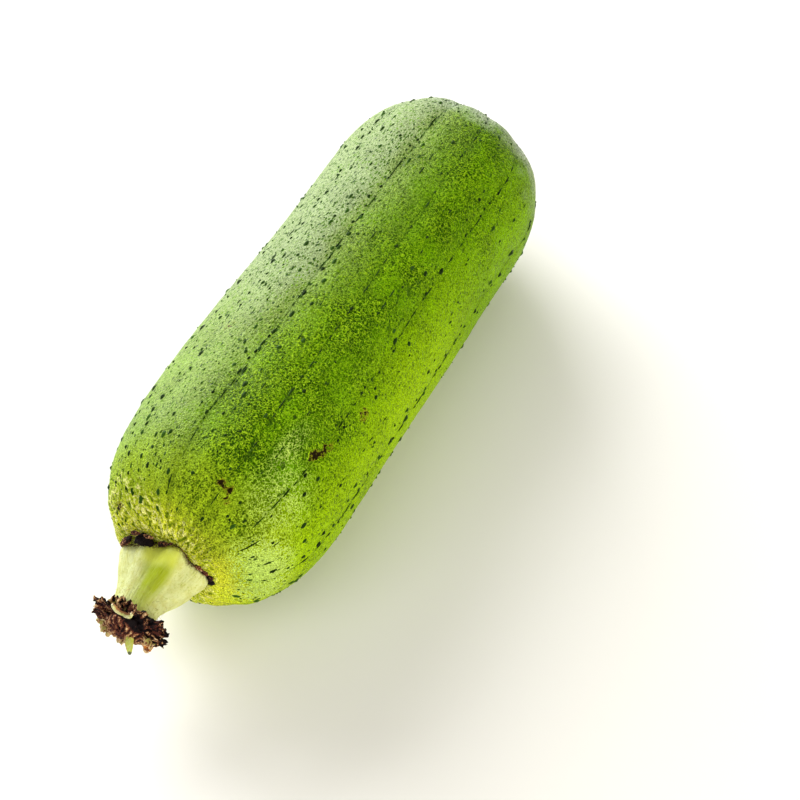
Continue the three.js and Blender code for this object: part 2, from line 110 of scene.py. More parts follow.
# Fine relief of the skin. The rows of its mesh lie at these runs out of 250, closest near the neck.
SKIN_COLUMNS = 360
SKIN_ROWS = 270
SKIN_ROW_RUNS = [(0, 0.0), (84, 40.0), (256, 238.0), (270, 250.0)]
SEAM_ANGLE = 270
CREASE_WIDTH = 0.8
CREASE_DEPTH = 0.12
GOOSE_SIZE = 2.0
GOOSE_HEIGHT = 0.12
UNEVEN_SIZE = 9.0
UNEVEN_HEIGHT = 0.16
UNEVEN_START = (20, 45)
UNEVEN_END = (16, 40)
SCAR_DEPTH = 0.5
SCAR_MEAN = 0.6
SCAR_LUMPS = (1, 1.5)
SCRATCH_DEPTH = 0.35
BLOTCH_DEPTH = 0.15

# Crinkles round the neck: how far they reach from its middle, by angle, their count and height, the
# coarse and the fine ones (share, size, step in the noise), and how they waver
CRINKLE_REACH = [(0, 34), (45, 34), (80, 28), (110, 25), (150, 20), (200, 18), (260, 22), (320, 30)]
CRINKLE_FINENESS = 2.1
CRINKLE_STRETCH = 0.65
CRINKLE_HEIGHT = 0.65
CRINKLE_START = (9, 12)
CRINKLE_FADE = 9
CRINKLE_SHARPNESS = 2.2
CRINKLE_LAYERS = [(0.62, 1.0, 0.0), (0.38, 0.5, 9.5)]
CRINKLE_WAVER = (0.6, 3.0)

# Thin dark lines along the skin: angle, how dark, and how far they turn aside towards the blossom end
DARK_LINES = [
    (12, 0.5, 0),
    (54, 0.3, 0),
    (85.5, 0.85, -5),
    (98, 0.2, 0),
    (111, 0.75, 0),
    (123, 0.25, 0),
    (139.5, 0.7, 0),
    (160, 0.2, 0),
    (180, 0.8, 3),
    (214, 0.6, 2),
    (250, 0.6, -2),
    (288, 0.6, 1),
    (330, 0.6, -2),
]
# How far off a line is still felt and where it fades, the run on which it turns aside, how it wavers,
# and how it breaks up. Near the neck the lines are weaker.
LINE_REACH = 3.0
LINE_EDGE = (LINE_REACH - 1, LINE_REACH - 0.3)
LINE_TURN_RUN = (20, 90)
LINE_WAVER = (0.6, 13.0)
LINES_APART = 31.0
LINE_BREAK_SIZE = 4.5
LINE_BREAKS = (-0.2, 0.1)
LINE_BREAKS_APART = 17.0
LINE_BREAKS_FROM = 5
LINE_WEAKEST = 0.3
NECK_LINES = 0.6
NECK_LINES_START = (18, 24)
NECK_LINES_END = 60

# Noise lets a tone stray: how far, and how broad its lumps are
ANGLE_DRIFTS = [(5, 38.0), (5, 9.0)]
RUN_DRIFT = (6, 16.0)
FROST_DRIFT = (6, 5.0)
GRAIN_DRIFT = (0.6, 11.0)
FOOT_DRIFT = (0.5, 1.6)

# The wax, which is partly painted sheen, grows along the fruit and reaches further up, by a slide in
# degrees. The yellow, which is partly painted warm bounce light, and the grains fade along it. Pairs are
# runs between which this happens.
WAX_SLIDE = 8
WAX_SLIDE_RUN = (80, 130)
WAX_START = (24, 56)
WAX_GAIN = 0.22
WAX_GAIN_RUN = (70, 130)
YELLOW_LOSS = 0.65
YELLOW_LOSS_RUN = (115, 175)
GRAIN_MEAN = 0.75
GRAIN_LIMITS = (0.15, 1.3)
GRAIN_LOSS = 0.3
GRAIN_LOSS_RUN = (60, 130)
GRAIN_LOSS_CRINKLES = 0.7
GRAIN_LOSS_PALE = 0.8

# Cream skin round the neck: how strong, and where it fades, by the way from the neck and by run
NECK_CREAM = (0.8, 15, 34)
END_CREAM = (0.42, 24, 54)

# Dark brown where the neck stands on the skin, a thin line round it with painted shade on one side: how
# strong and how wide the line and the shade are, and the side of the shade, by angle and half its width
FOOT_RUN = 30
FOOT_LINE = (0.8, 0.45)
FOOT_SHADE = (0.2, 2.5)
FOOT_SHADE_SIDE = (78, 26)
FOOT_MEAN = 0.75

# Thick wax and frost on the stalk end start at this run, later on one side (angle, half the width, how
# much later), and grow over a span. The frost thins out at the pole and is palest by angle, where it is
# partly a painted reflection.
FROST_START = 207
FROST_LATE = (108, 30, 7)
FROST_SPAN = (0, 24)
FROST_LOSS = 0.5
FROST_LOSS_RUN = (226, 248)
END_WAX = 0.8
END_WAX_SPAN = (-2, 20)
FROST_AND_SHEEN = [(60, 0.35), (95, 1), (150, 1), (170, 0.6), (300, 0.4)]

# How the skin's tones go round the fruit: angle, yellowness, which on the right side is partly painted
# warm bounce light, pale wax, which on the left side is partly painted sheen, green specks, grains
ROUND_TONES = [
    (0, 0.3, 0.9, 1.0, 0.3),
    (30, 0.3, 0.92, 1.0, 0.3),
    (55, 0.25, 0.92, 1.0, 0.35),
    (70, 0.22, 0.93, 1.0, 0.5),
    (78, 0.2, 0.76, 1.0, 0.6),
    (85, 0.16, 0.45, 0.8, 0.75),
    (92, 0.14, 0.22, 0.7, 0.9),
    (100, 0.08, 0.08, 0.5, 1.0),
    (108, 0.02, 0.0, 0.35, 1.0),
    (130, 0.0, 0.0, 0.25, 0.9),
    (148, 0.5, 0.0, 0.4, 0.6),
    (165, 0.9, 0.0, 0.6, 0.4),
    (200, 1.0, 0.0, 0.6, 0.4),
    (260, 0.9, 0.1, 0.6, 0.4),
    (310, 0.6, 0.4, 0.8, 0.3),
]

# Marks on the skin: run, angle, half its length along, half its width round, turn, strength
SCARS = [
    (64.8, 138.4, 1.7, 1.3, 20, 1.0),
    (66.6, 140.2, 1.5, 0.8, 60, 0.95),
    (69.0, 140.6, 1.6, 0.7, -30, 0.8),
    (63.5, 136.8, 1.2, 0.6, -40, 0.7),
    (71.0, 142.0, 2.2, 1.4, 0, 0.3),
    (37.3, 108.6, 1.3, 1.0, 20, 0.9),
    (36.6, 111.4, 0.7, 1.3, 0, 0.55),
    (36.8, 114.6, 1.5, 0.8, 15, 0.9),
    (33.5, 117.0, 1.6, 1.2, 0, 0.35),
    (24.0, 25.0, 1.4, 2.2, 0, 0.5),
    (93.0, 61.0, 2.6, 1.4, 30, 0.25),
    (89.5, 147.0, 2.6, 1.8, 0, 0.35),
]
BLOTCHES = [
    (49.0, 112.0, 2.0, 1.3, 30, 0.85),
    (48.0, 115.5, 0.9, 2.6, 0, 0.6),
    (53.0, 111.5, 3.2, 1.2, 10, 0.5),
    (63.0, 111.0, 2.8, 1.3, 0, 0.55),
    (74.0, 111.0, 5.0, 1.5, 0, 0.6),
    (53.5, 128.0, 2.6, 0.9, 0, 0.7),
    (48.0, 138.0, 3.6, 0.8, 10, 0.6),
    (137.0, 129.5, 3.0, 1.0, -35, 0.8),
    (132.0, 126.5, 5.0, 0.5, -20, 0.8),
    (120.0, 132.0, 4.5, 0.45, -30, 0.7),
    (126.0, 135.0, 3.5, 0.4, 5, 0.7),
]
SCRATCHES = [
    (29.0, 148.5, 4.2, 0.45, 0, 0.5),
    (31.5, 166.5, 2.4, 0.4, 5, 0.5),
    (47.5, 88.0, 3.0, 0.4, 25, 0.7),
]
PALE_PATCHES = [
    (58.0, 126.0, 13.0, 4.5, 0, 0.42),
    (46.0, 139.0, 14.0, 12.0, 0, 0.42),
    (30.0, 171.0, 10.0, 13.0, 0, 1.0),
    (29.0, 190.0, 9.0, 12.0, 0, 0.8),
]
# Where the skin is a little yellower, with the same numbers
SUNLIT_PATCHES = [(106.0, 94.0, 48.0, 10.0, 0, 0.14)]

# Warts that stand alone: run, angle, length, width
PLACED_WARTS = [
    (34, 63, 2.2, 1.6), (36, 71, 1.4, 1.0), (35.5, 92, 1.5, 1.8), (27.5, 43, 1.2, 1.0),
    (31, 31, 1.6, 1.2), (32, 38, 1.6, 1.2), (32, 47, 1.4, 1.1), (38.5, 45, 2.4, 1.5),
    (40, 63, 1.5, 1.1), (41.5, 39.5, 1.9, 1.4), (46.5, 41, 1.6, 1.3), (49, 50, 2.2, 1.6),
    (50.5, 38, 2.2, 1.4), (52.5, 66, 2.2, 1.6), (55, 48.5, 2.8, 1.7), (60.5, 49.5, 2.8, 1.9),
    (57.5, 90, 1.6, 1.2), (56, 82, 1.8, 1.2), (63.5, 79, 1.6, 1.4), (70.5, 90.5, 2.8, 1.9),
    (73, 55.5, 1.8, 1.4), (80, 55, 3.4, 2.1), (83.5, 46.5, 1.4, 1.3), (74.5, 83.6, 3.6, 1.0),
    (75.5, 85.8, 3.8, 1.1), (81, 83.4, 1.8, 1.3), (84.5, 84.2, 2.0, 1.3), (88.5, 84.6, 3.4, 1.4),
    (92, 85, 1.7, 1.1), (94.5, 85.6, 2.6, 1.6), (103.5, 88, 3.2, 1.9), (103, 58, 2.2, 1.3),
    (106, 72, 1.2, 1.0), (109, 57.5, 2.2, 1.4), (111, 69, 1.4, 1.0), (113.5, 86.5, 3.0, 1.6),
    (115, 59, 1.4, 1.1), (118.5, 60, 1.7, 1.3), (125, 57, 3.0, 1.8), (125.5, 87, 2.4, 1.5),
    (131, 86, 1.4, 1.0), (137, 57.5, 1.8, 1.2), (137, 85.5, 1.7, 1.2), (143, 86.5, 1.6, 1.2),
    (145, 57, 2.4, 1.4), (149, 74, 1.6, 1.3), (149, 84.5, 1.9, 1.4), (153.5, 86.3, 1.6, 1.1),
    (159, 53, 2.2, 1.5), (158, 84.7, 1.3, 1.0), (162.5, 55.3, 3.0, 1.8), (162.5, 82.5, 1.9, 1.3),
    (168.5, 84.6, 1.5, 1.1), (172.5, 53, 1.7, 1.4), (175, 52.3, 2.2, 1.6), (173.5, 85, 1.3, 1.0),
    (187.5, 52, 3.2, 1.6), (191, 83.5, 1.4, 1.2), (195, 85, 1.8, 1.2), (194, 75, 1.7, 1.2),
    (195.5, 53, 1.8, 1.3), (202.5, 51, 3.8, 1.5), (24, 111.5, 2.0, 1.3), (30, 123.5, 1.3, 1.3),
    (29.5, 126, 1.2, 1.2), (32.5, 133, 1.7, 1.4), (35.7, 123.5, 1.3, 1.4), (35.5, 155, 1.4, 1.3),
    (28, 157.5, 1.7, 1.2), (40, 142, 1.2, 1.0), (53, 147, 2.4, 1.7), (57.5, 141, 1.9, 1.4),
    (60.3, 147.5, 2.0, 1.8), (45, 98, 1.1, 0.9), (51, 97, 1.2, 1.2), (54.5, 102, 1.3, 1.3),
    (79, 115.5, 2.2, 1.6), (78, 138, 1.5, 1.1), (80, 142, 1.4, 1.3), (94, 139.3, 1.6, 1.2),
    (96.5, 139, 1.5, 1.2), (97.5, 147, 2.2, 1.7), (99.5, 144, 1.7, 1.3), (105, 140.8, 1.4, 1.1),
    (115.5, 141, 1.8, 1.4), (118.7, 138.6, 2.9, 1.6), (122.7, 146, 2.2, 2.0), (95, 119.5, 1.0, 0.9),
    (116.5, 111, 2.0, 1.4), (142.5, 138.5, 1.7, 1.2), (147.5, 131.5, 2.6, 1.9), (154, 138.6, 3.0, 2.0),
    (148.5, 111, 1.8, 1.0), (159, 121, 1.8, 1.3), (172.5, 138.4, 1.8, 1.2), (177, 133.5, 1.4, 1.1),
    (187, 132.7, 1.6, 1.9), (183, 139, 1.4, 1.0), (186.5, 138.6, 1.8, 1.0), (190, 139, 1.4, 1.0),
    (196, 140, 1.9, 1.1), (203, 140, 1.7, 1.1), (47, 159.5, 2.6, 1.8), (66.5, 161, 1.9, 1.5),
    (54, 176, 2.2, 2.0), (75, 143.5, 1.6, 1.2), (88, 163.5, 1.7, 1.1), (98, 178.5, 3.0, 2.2),
    (101, 171, 1.4, 1.1), (112, 150, 1.1, 1.0), (120, 150, 1.2, 1.1), (126, 170, 2.6, 1.7),
    (131, 169, 1.2, 1.1), (153, 159, 1.3, 1.1), (185, 159.5, 1.4, 1.1), (152, 175, 1.5, 1.3),
    (132, 42, 2.2, 1.6), (117, 41, 3.4, 2.2), (109, 42, 1.6, 1.2), (102, 41, 2.0, 1.4),
    (94.5, 39, 3.4, 2.2), (85, 38, 1.6, 1.3), (79, 35, 1.8, 1.4), (67, 34, 3.6, 2.2),
    (62.5, 37, 2.2, 1.6), (47, 28, 2.4, 1.6), (38.5, 20, 2.0, 1.5), (33.5, 8, 2.0, 1.5),
    (29, 148.5, 8.5, 0.5), (31.5, 166.5, 4.6, 0.5),
    (181.5, 85, 7.5, 0.6), (207, 85, 6.4, 0.6), (30, 80, 8.0, 0.5), (36, 157, 4.2, 0.5),
]
WART_SEED = 4021
PLACED_SLIMNESS = 0.85
PLACED_DARKNESS = (0.7, 1.0)

# Warts in the furrows that have none placed: from and to where, step, size, its length and width, how
# far they stray in degrees
PLACED_FURROWS = {54, 85, 111, 139}
ROW_START = (30, 36)
ROW_END = 26
ROW_STEP = (5.0, 10.5)
ROW_SIZE = (1.3, 2.8)
ROW_SHAPE = (1.3, 0.8)
ROW_STRAY = 6

# Raised dashes on the dark lines, which stay clear of scars
DASH_START = (26, 34)
DASH_END = 20
DASH_LENGTH = (1.6, 6.0)
DASH_WIDTH = (0.4, 0.6)
DASH_DARKNESS = (0.4, 0.9)
DASH_SHARE = 0.8
DASH_GAP = 3
DASH_PROBES = (-0.4, 0, 0.4)
DASH_CLEAR = 0.05

# Warts strewn over the skin, fewer on the bare side (from angle, to angle, share left out)
STRAY_WARTS = 1150
STRAY_START = 20
STRAY_END = 24
STRAY_SIZE = (0.55, 1.65)
STRAY_LENGTH = (1.4, 2.3)
STRAY_DARKNESS = 0.65
BARE_SIDE = (94, 190, 0.72)

# Form of a wart: its mesh, where its cap is cut off, and its ragged edge and top
WART_SIDES = 9
WART_RINGS = 8
WART_CUT = -0.1
WART_SPREAD = 1.25
WART_HEIGHT = 0.5
WART_SINK = 0.12
WART_ROOT = 0.4
WART_EDGE = (0.35, 0.8)
WART_TOP = (0.3, 0.6)
WARTS_APART = 5.0
TOPS_APART = 3.3
FLAT_MARGIN = 0.6

# Neck, the same values as in the part's source, and its fine relief
NECK_DIRECTION = (-0.985, -0.05, -0.1)
NECK_OFFSET = (-1.5, 3.5, -5.2)
NECK_LOBES = [
    (8, 22, 5.0),
    (56, 20, 1.4),
    (114, 18, 6.2),
    (170, 27, 6.3),
    (235, 20, 4.8),
    (300, 20, 4.6),
]
NECK_STATIONS = [
    (-4.0, 7.6, 0.6, 0),
    (-1.4, 9.0, 0.86, 0),
    (0.0, 9.6, 0.98, 0),
    (1.8, 9.5, 1.0, 0),
    (4.6, 8.8, 0.92, 0.1),
    (7.8, 8.0, 0.76, 0.4),
    (10.8, 7.4, 0.5, 0.8),
    (14.2, 6.9, 0.28, 1.1),
    (17.8, 6.7, 0.15, 1.2),
    (21.2, 6.4, 0.1, 1.2),
]
NECK_COLUMNS = 240
NECK_ROWS = 110
# The last rows at each end close it: these shares of its radius, counted from the end
NECK_CAP_ROWS = (0, 1, 2)
NECK_CAP_SHARES = (0, 0.6, 1)
FIBRE_HEIGHT = 0.2
FIBRE_STRETCH = 9
FIBRES_AROUND = 13
FINE_FIBRES = (0.5, 0.45)
FIBRES_APART = 4.2

# The green valley in the neck's upper side, how green it is on its way out, painted light at its foot
# where the scab and the hollow shade it, the paler valley below, and the brown of the rim and the throat
VALLEY_ANGLE = 92
VALLEY_SLANT = 1.7
VALLEY_SLANT_OUT = 10
VALLEY_WIDTH = 29
VALLEY_WAVER = (9, 2.2)
NECK_GREEN = [(0, 0.4), (4, 0.65), (7, 1.0), (12, 0.95), (15, 0.75), (20, 0.6)]
VALLEY_PAINTED_LIGHT = 0.8
VALLEY_PAINTED_LIGHT_TURN = 8
VALLEY_PAINTED_LIGHT_OUT = (3, 7)
LOWER_VALLEY = (0.5, 268, 24)
RIM_BROWN = [(0, 1.0), (70, 0.9), (82, 0.15), (104, 0.1), (118, 0.7), (240, 1.0)]
RIM_OUT = (-0.2, 1.0)
RIM_RAGGED = 0.4
THROAT_OUT = (20.2, 20.9)
THROAT_RAGGED = 0.5
STREAKS_AROUND = 30
STREAK_STRETCH = 6

# Hairs on the neck: where they stand, how dense towards the throat, how long and thick, how they lean
# onward and sideways, and how they droop
HAIR_SEED = 523
HAIR_COUNT = 150
HAIR_SIDES = 3
HAIR_ROWS = 6
HAIR_REACH = (12, 20.8)
HAIR_CROWDING = 1.6
HAIR_LENGTH = (0.96, 2.4)
HAIR_THICKNESS = 0.12
HAIR_TAPER = 0.6
HAIR_ROOT = 0.15
HAIR_ONWARD = (-0.9, 1.5)
HAIR_SIDEWAYS = 1.6
HAIR_SWAY = 0.8
HAIR_DROOP = 0.35

# Withered flower, the same values as in the part's source, and its pleats and crumple
FLOWER_OUT = 24
FLOWER_BEND = 1.2
FLOWER_TURN = 0.05
FLOWER_CORE = (2.9, 6.8, 6.4)
CORE_LUMPS = 3
CORE_LUMP_SHARE = 0.12
CORE_GRID = (120, 60)
CORE_FOLDS = (0.6, 1.3)
CORE_LUMP_WAVES = 6
CORE_PLEATS = 15
CORE_PLEAT_DRIFT = 4
CORE_PLEAT_START = (0.1, 0.5)
CORE_PLEAT_HEIGHT = 0.35
CORE_PLEAT_WAVER = (3, 3.0)
PETAL_SEED = 418
PETAL_ROOT = 3.2
PETAL_SLIM = 0.45
PETAL_SPREAD = (0.12, 0.8)
PETAL_WAVE = 1.1
PETAL_WAVES_ACROSS = 3.4
PETAL_WAVES_ALONG = 4
PETAL_GRID = (32, 36)
PETAL_THICKNESS = 0.3
PLEATS = 11
PLEAT_HEIGHT = 0.4
CRUMPLE_SIZE = 2.0
CRUMPLE_HEIGHT = 0.5
CRUMPLE_STEPS = (0.0, 33.0, 66.0)
FINE_CRUMPLE = (0.4, 2.2, 11.0)
FOLD_SHARPNESS = 2.4
PATCH_SIZE = 2.5
TEAR_SIZE = 0.35
THREAD_SIZE = 0.3
WORN_EDGE = (0.86, 1.0)
PETALS_APART = 7.0
PLEAT_DRIFT = 2
PLEATED_WIDTH = 6
TEARS = (1.9, 0.08)
TIP_CORNERS = (0.06, 0.12)
ROOT_CRUMPLE = 0.2
THREADS = (0.6, 0.9)
# What makes a petal lit and worn: a start, then its pleats, threads, fine and coarse folds, patches,
# edge and the painted shade of the gap; its lit pleats and folds are painted light. The core has a start,
# its front out of the painted shade, folds, pleats and patches.
PETAL_LIGHT = (0.31, 0.3, 0.25, 0.3, 0, 0.4, 0, -0.5)
PETAL_WORN = (0.05, 0.25, 0.4, 0, 0.2, 0.6, 0.3, -1)
CORE_LIGHT = (-0.35, 0.95, 0.35, 0.4, 0.3)
CORE_WORN = (-1.15, 1.4, 0.3, 0.35, 0.4)

# Each petal: its turn round the flower, way out, tilt, curl, length and width, then how lit, worn and
# green it is, or amber below zero
PETALS = [
    (20, -1.6, -0.15, 0.1, 8.6, 8.0, 0.1, 0.15, 0.0),
    (62, -1.6, -0.2, 0.0, 7.4, 8.5, 0.1, 0.25, 0.5),
    (100, -1.7, -0.15, 0.0, 8.0, 8.0, 0.05, 0.15, 0.2),
    (126, -1.6, -0.15, 0.1, 8.6, 7.5, 0.0, 0.15, 0.0),
    (158, -1.6, -0.15, 0.0, 9.6, 8.0, -0.1, -0.1, 0.0),
    (196, -1.4, -0.12, 0.1, 9.8, 8.5, -0.15, -0.1, 0.0),
    (348, -0.4, -0.05, -0.2, 9.2, 8.0, 0.15, 0.15, 0.0),
    (322, -0.2, -0.05, 0.1, 8.4, 8.0, 0.5, 0.8, 0.62),
    (297, 0.2, 0.05, 0.1, 7.2, 7.5, 0.45, 0.75, 0.55),
    (268, 0.0, 0.0, 0.0, 5.6, 8.0, 0.2, 0.25, 0.1),
    (236, 0.4, 0.0, -0.1, 8.2, 8.5, 0.2, 0.5, 0.2),
    (178, -0.4, -0.1, -0.2, 9.4, 8.0, -0.15, -0.05, 0.0),
]
# Torn shreds of petal, with the same numbers
SHREDS = [
    (12, -2.2, -0.12, 0.0, 10.2, 2.0, 0.1, 0.1, 0.0),
    (353, -1.0, 0.0, -0.1, 9.8, 2.8, 0.1, 0.1, 0.0),
    (336, -1.0, -0.05, 0.0, 9.6, 3.2, 0.3, 0.3, 0.6),
    (80, -1.6, -0.25, 0.0, 8.2, 3.4, 0.1, 0.3, 0.35),
    (112, -1.8, -0.15, 0.1, 9.2, 3.0, 0.1, 0.2, 0.0),
    (163, -2.0, -0.1, 0.0, 10.4, 2.4, -0.1, 0.0, 0.0),
    (178, -2.0, -0.1, 0.0, 10.8, 2.8, -0.1, 0.1, 0.0),
    (208, -1.2, -0.15, 0.0, 10.6, 3.0, -0.1, 0.1, 0.0),
    (190, 0.3, 0.0, 0.1, 7.6, 3.6, 0.4, 0.6, 0.6),
    (219, 0.2, 0.0, 0.0, 8.0, 4.5, 0.4, 0.5, -0.55),
]
# Painted shade in the gap behind the flower's core: how far out it reaches on the core at each turn,
# and how far up the petals
GAP_OUT = [(30, -3), (60, -0.4), (90, 0.4), (125, 1.1), (145, 1.3), (160, 0.6), (175, -0.8), (200, -3)]
GAP_EDGE = (-0.3, 0.4)
GAP_RADIUS = 5.8
GAP_EXTRA = 3.6
GAP_TURN = 130
GAP_SPREAD = 28
GAP_SOFTNESS = (-1.2, 0.6)

# Calyx lobes, the same values as in the part's source
SEPAL_OUT = 1.2
SEPAL_LENGTH = 8.8
SEPAL_LEAN = 0.56
SEPAL_SIDE = -1.2
SEPAL_WIDTH = 3.1
SEPAL_THICKNESS = 1.6
SEPAL_GRID = (40, 80)
SEPAL_RIBS = (0.1, 3)
SEPAL_FINE_RIBS = (0.05, 9, 3)
SEPAL_LUMPS = (0.1, 0.9)
# Where it is dry: how much at its root and up to where, then on its right and left edges
SEPAL_DRY_ROOT = (0.8, 0.2, 0.5)
SEPAL_DRY_EDGES = [(0.45, 0.75), (0.2, -0.8)]
SEPAL_POINT = (0.78, 0.97)
CURL_ANGLE = 90
CURL_MIDDLE = 10.2
CURL_BOW = 3.4
CURL_BEND = 95
CURL_OUT = -0.7
CURL_BREADTH = 1.6
CURL_TAPER = 1.0
CURL_THICKNESS = 0.8
CURL_GRID = (60, 24)
CURL_LUMPS = (0.15, 1.0)
CURL_INSIDE = (0.25, 0.7)
CURL_DRY = (0.24, 1.04)
CURL_ENDS = (0.8, 1.0)
CURL_BURNT = (-0.2, 0.3)
CURL_PALE = (0.95, 0.475)
CURL_STREAKS = (0.0, 0.5)
CURL_STREAK_SIZE = 1.6
SEPAL_TAPER = [
    (0, 0), (0.05, 0.75), (0.15, 0.95), (0.4, 0.92), (0.7, 0.68), (0.9, 0.42), (0.97, 0.26), (1, 0),
]

# Corky scab round the foot of the neck. Clumps: angle, gap to the neck, length round, depth, height,
# how lit and how worn. Crumbs between them: from angle, to angle, size. Each has lumps, sharp folds
# and fine grit on it: how high, and how broad for a clump of radius 1. What makes it lit and worn: a
# start, its folds and its grit; the light on the folds and the grit is painted light.
SCAB_SEED = 77
SCAB_LEVEL = -0.7
SCAB_APART = 7.0
SCAB_BODY = 0.85
SCAB_LUMPS = (0.32, 0.9)
SCAB_FOLDS = (0.24, 0.55)
SCAB_GRIT = (0.14, 0.22)
SCAB_LARGE = 3
SCAB_LIGHT = (-0.2, 0.5, 0.4)
SCAB_WORN = (-0.2, 0.5, 0)
CRUMB_SIZE = (0.6, 1.3)
CRUMB_SHAPE = (1.2, 1.0, 0.6)
CRUMB_GAP = 0.9
CRUMB_WORN = 0.6
CREASE_RADIUS = 13.5
SCAB_CLUMPS = [
    (13, 0.6, 2.4, 1.6, 2.4, 0.9, 0.8),
    (18, 1.0, 2.8, 1.6, 2.8, 0.7, 0.5),
    (24, 1.8, 3.2, 1.5, 3.2, 0.5, 0.35),
    (30, 2.7, 3.2, 1.4, 3.0, 0.35, 0.2),
    (36, 3.5, 2.8, 1.3, 2.4, 0.2, 0.1),
    (53, 2.2, 3.4, 3.2, 3.2, -0.1, -0.15),
    (61, 2.4, 4.2, 4.2, 4.2, -0.3, -0.3),
    (69, 1.6, 3.4, 3.2, 3.2, -0.2, -0.2),
    (56, 5.4, 3.4, 1.8, 1.4, 0.5, 0.3),
    (73, 4.6, 3.2, 1.6, 1.2, 0.4, 0.4),
    (90, 2.2, 3.0, 2.6, 2.2, 0.2, 0.15),
    (95, 1.6, 2.6, 2.0, 1.8, 0.4, 0.3),
    (102, 1.9, 1.8, 1.4, 1.0, 0.3, 0.2),
    (152, 0.8, 2.6, 1.8, 1.8, 0.85, 0.5),
    (159, 0.9, 2.6, 2.0, 2.0, 0.8, 0.35),
    (167, 1.1, 3.0, 2.4, 2.4, 0.1, 0.1),
    (176, 1.2, 3.6, 2.8, 2.6, -0.2, -0.1),
    (188, 0.8, 2.6, 1.8, 1.6, 0.1, 0.1),
    (199, 0.9, 4.0, 2.2, 2.0, 0.0, 0.0),
    (250, 0.9, 4.6, 2.0, 1.6, 0.3, 0.3),
    (310, 0.9, 4.6, 2.0, 1.6, 0.3, 0.3),
]
SCAB_CRUMBS = [(40, 50, 0.5), (76, 88, 0.5), (106, 148, 0.4), (150, 226, 0.9), (228, 358, 1.1)]

# Stalk, the same values as in the part's source
STALK_LENGTH = 4.2
STALK_ROOT = 5
STALK_STUB_RADIUS = 4.6
STALK_FOOT_RADIUS = 6.8
STALK_FOOT_RISE = 1.8
STALK_BEVEL = 0.5
# The swollen foot: way, as a share of its rise, and share of its swelling
STALK_SWELLING = [(-1, 0.8), (-1 / 4, 1), (1 / 3, 0.6), (1, 0.15)]
STALK_RIBS = 5
STALK_RIB_HEIGHT = 0.55
STALK_COLUMNS = 90
STALK_ROWS = 60
STALK_FACE_ROWS = 12
BARK_AROUND = 9
BARK_STRETCH = 4
BARK_LUMPS = (0.18, 1.0)
CUT_DEPTH = 0.35
CUT_LUMP_SIZE = 1.3
CUT_EDGE = (0.78, 0.9)

# Camera: how far the fruit is turned from the picture, the height of the view and its distance
VIEW_TURN = math.radians(61.7)
VIEW_HEIGHT = math.radians(49.5)
VIEW_DISTANCE = 893.3
VIEW_MIDDLE = (14.497, 0.0, 36.8)
AIM_RIGHT = 21.6
AIM_UP = -21.5
SENSOR_WIDTH = 36
CAMERA_REACH = (0.01, 20)

# Softboxes: name, the way to them from the fruit, distance and side in metres, setting, colour
SOFTBOXES = [
    ("key_softbox", (0.45, 0.80, 0.42), 1.3, 1.1, "key_power", "#ffffff"),
    ("fill_softbox", (-0.35, -0.90, 0.38), 1.3, 1.0, "fill_power", "#fff6e0"),
    ("top_softbox", (-0.75, 0.1, 0.75), 1.4, 1.0, "top_power", "#ffffff"),
]
FLOOR_SIZE = 6.0

# Patterns of the materials: sizes in mm, and how they are drawn out along the fruit
GLINT_SPECK_SIZE = 0.36
MOTTLE_SIZE = 8
BROAD_SIZE = 26
PEBBLE_SIZE = 1.2
PORE_SIZE = 1.1
SPECK_SIZE = 2.3
WART_GRAIN_SIZE = 0.5
WART_GRAIN_HEIGHT = 0.2
CLOUD_SIZE = 2.5
FLECK_SIZE = 0.6
FIBRE_RELIEF = 0.7
FLESH_DEPTH = 1.2
CRUMB_DUST_SIZE = 0.4
CRUMB_RELIEF = 0.6
SCAB_CRUMB_SIZE = 0.8
PETAL_CRUMB_SIZE = 0.9
VEIN_SIZE = 0.7
VEIN_RELIEF = 0.3
VESSEL_SIZE = 1.1
HAIR_TINT_SIZE = 3
RIND_STRETCH = (0.6, 1, 1)
LOBE_STRETCH = (0.35, 1, 1)
STALK_STRETCH = (0.15, 1, 1)


def linear(colour):
    """An sRGB hex colour as linear red, green and blue."""
    parts = [int(colour[i : i + 2], 16) / 255 for i in (1, 3, 5)]
    return tuple(c / 12.92 if c <= 0.04045 else ((c + 0.055) / 1.055) ** 2.4 for c in parts)


def smoothstep(value, low, high):
    share = np.clip((value - low) / (high - low), 0, 1)
    return share * share * (3 - 2 * share)


def fade(value, low, high):
    """From 1 below one value down to 0 above another."""
    return 1 - smoothstep(value, low, high)


def between(low, high, share):
    return low + (high - low) * share


def hump(offset, width, power=2):
    """1 in its middle and nearly 0 beyond twice its half width. Power 4 has steeper sides."""
    return np.exp(-((offset / width) ** power))


def vectors(*parts):
    """Vectors from their parts, each an array or one number."""
    return np.stack(np.broadcast_arrays(*parts), axis=-1).astype(float)


def turn_between(start, end):
    """The smallest turn from one angle to another, in degrees."""
    return (end - start + 180.0) % 360.0 - 180.0


def perlin(points, size):
    """Smooth noise between about -1 and 1 at points in mm, for lumps of that size."""
    return np.array([noise.noise(p) for p in (np.asarray(points) / size).tolist()])


def drifted(value, points, *drifts):
    """A value that strays with noise at points. Each drift is how far, and how broad its lumps are."""
    for far, size in drifts:
        value = value + far * perlin(points, size)
    return value


def ridged(points, size, sharpness):
    """Noise that is 1 along sharp crests and falls off beside them."""
    return 1 - sharpness * np.abs(perlin(points, size))


def by_angle(angle, table):
    """Values of a table of angles and values that closes on itself."""
    return np.interp(angle, *zip(*table), period=360)


def random_draw(seed):
    """The source's repeatable draw between 0 and 1."""
    state = [seed]

    def draw():
        state[0] = (state[0] * 1664525 + 1013904223) % 4294967296
        return state[0] / 4294967296

    return draw


# The fruit's outline


def bezier(points, count):
    t = np.linspace(0, 1, count)[:, None]
    a, b, c, d = np.array(points, float)
    return (1 - t) ** 3 * a + 3 * (1 - t) ** 2 * t * b + 3 * (1 - t) * t * t * c + t**3 * d


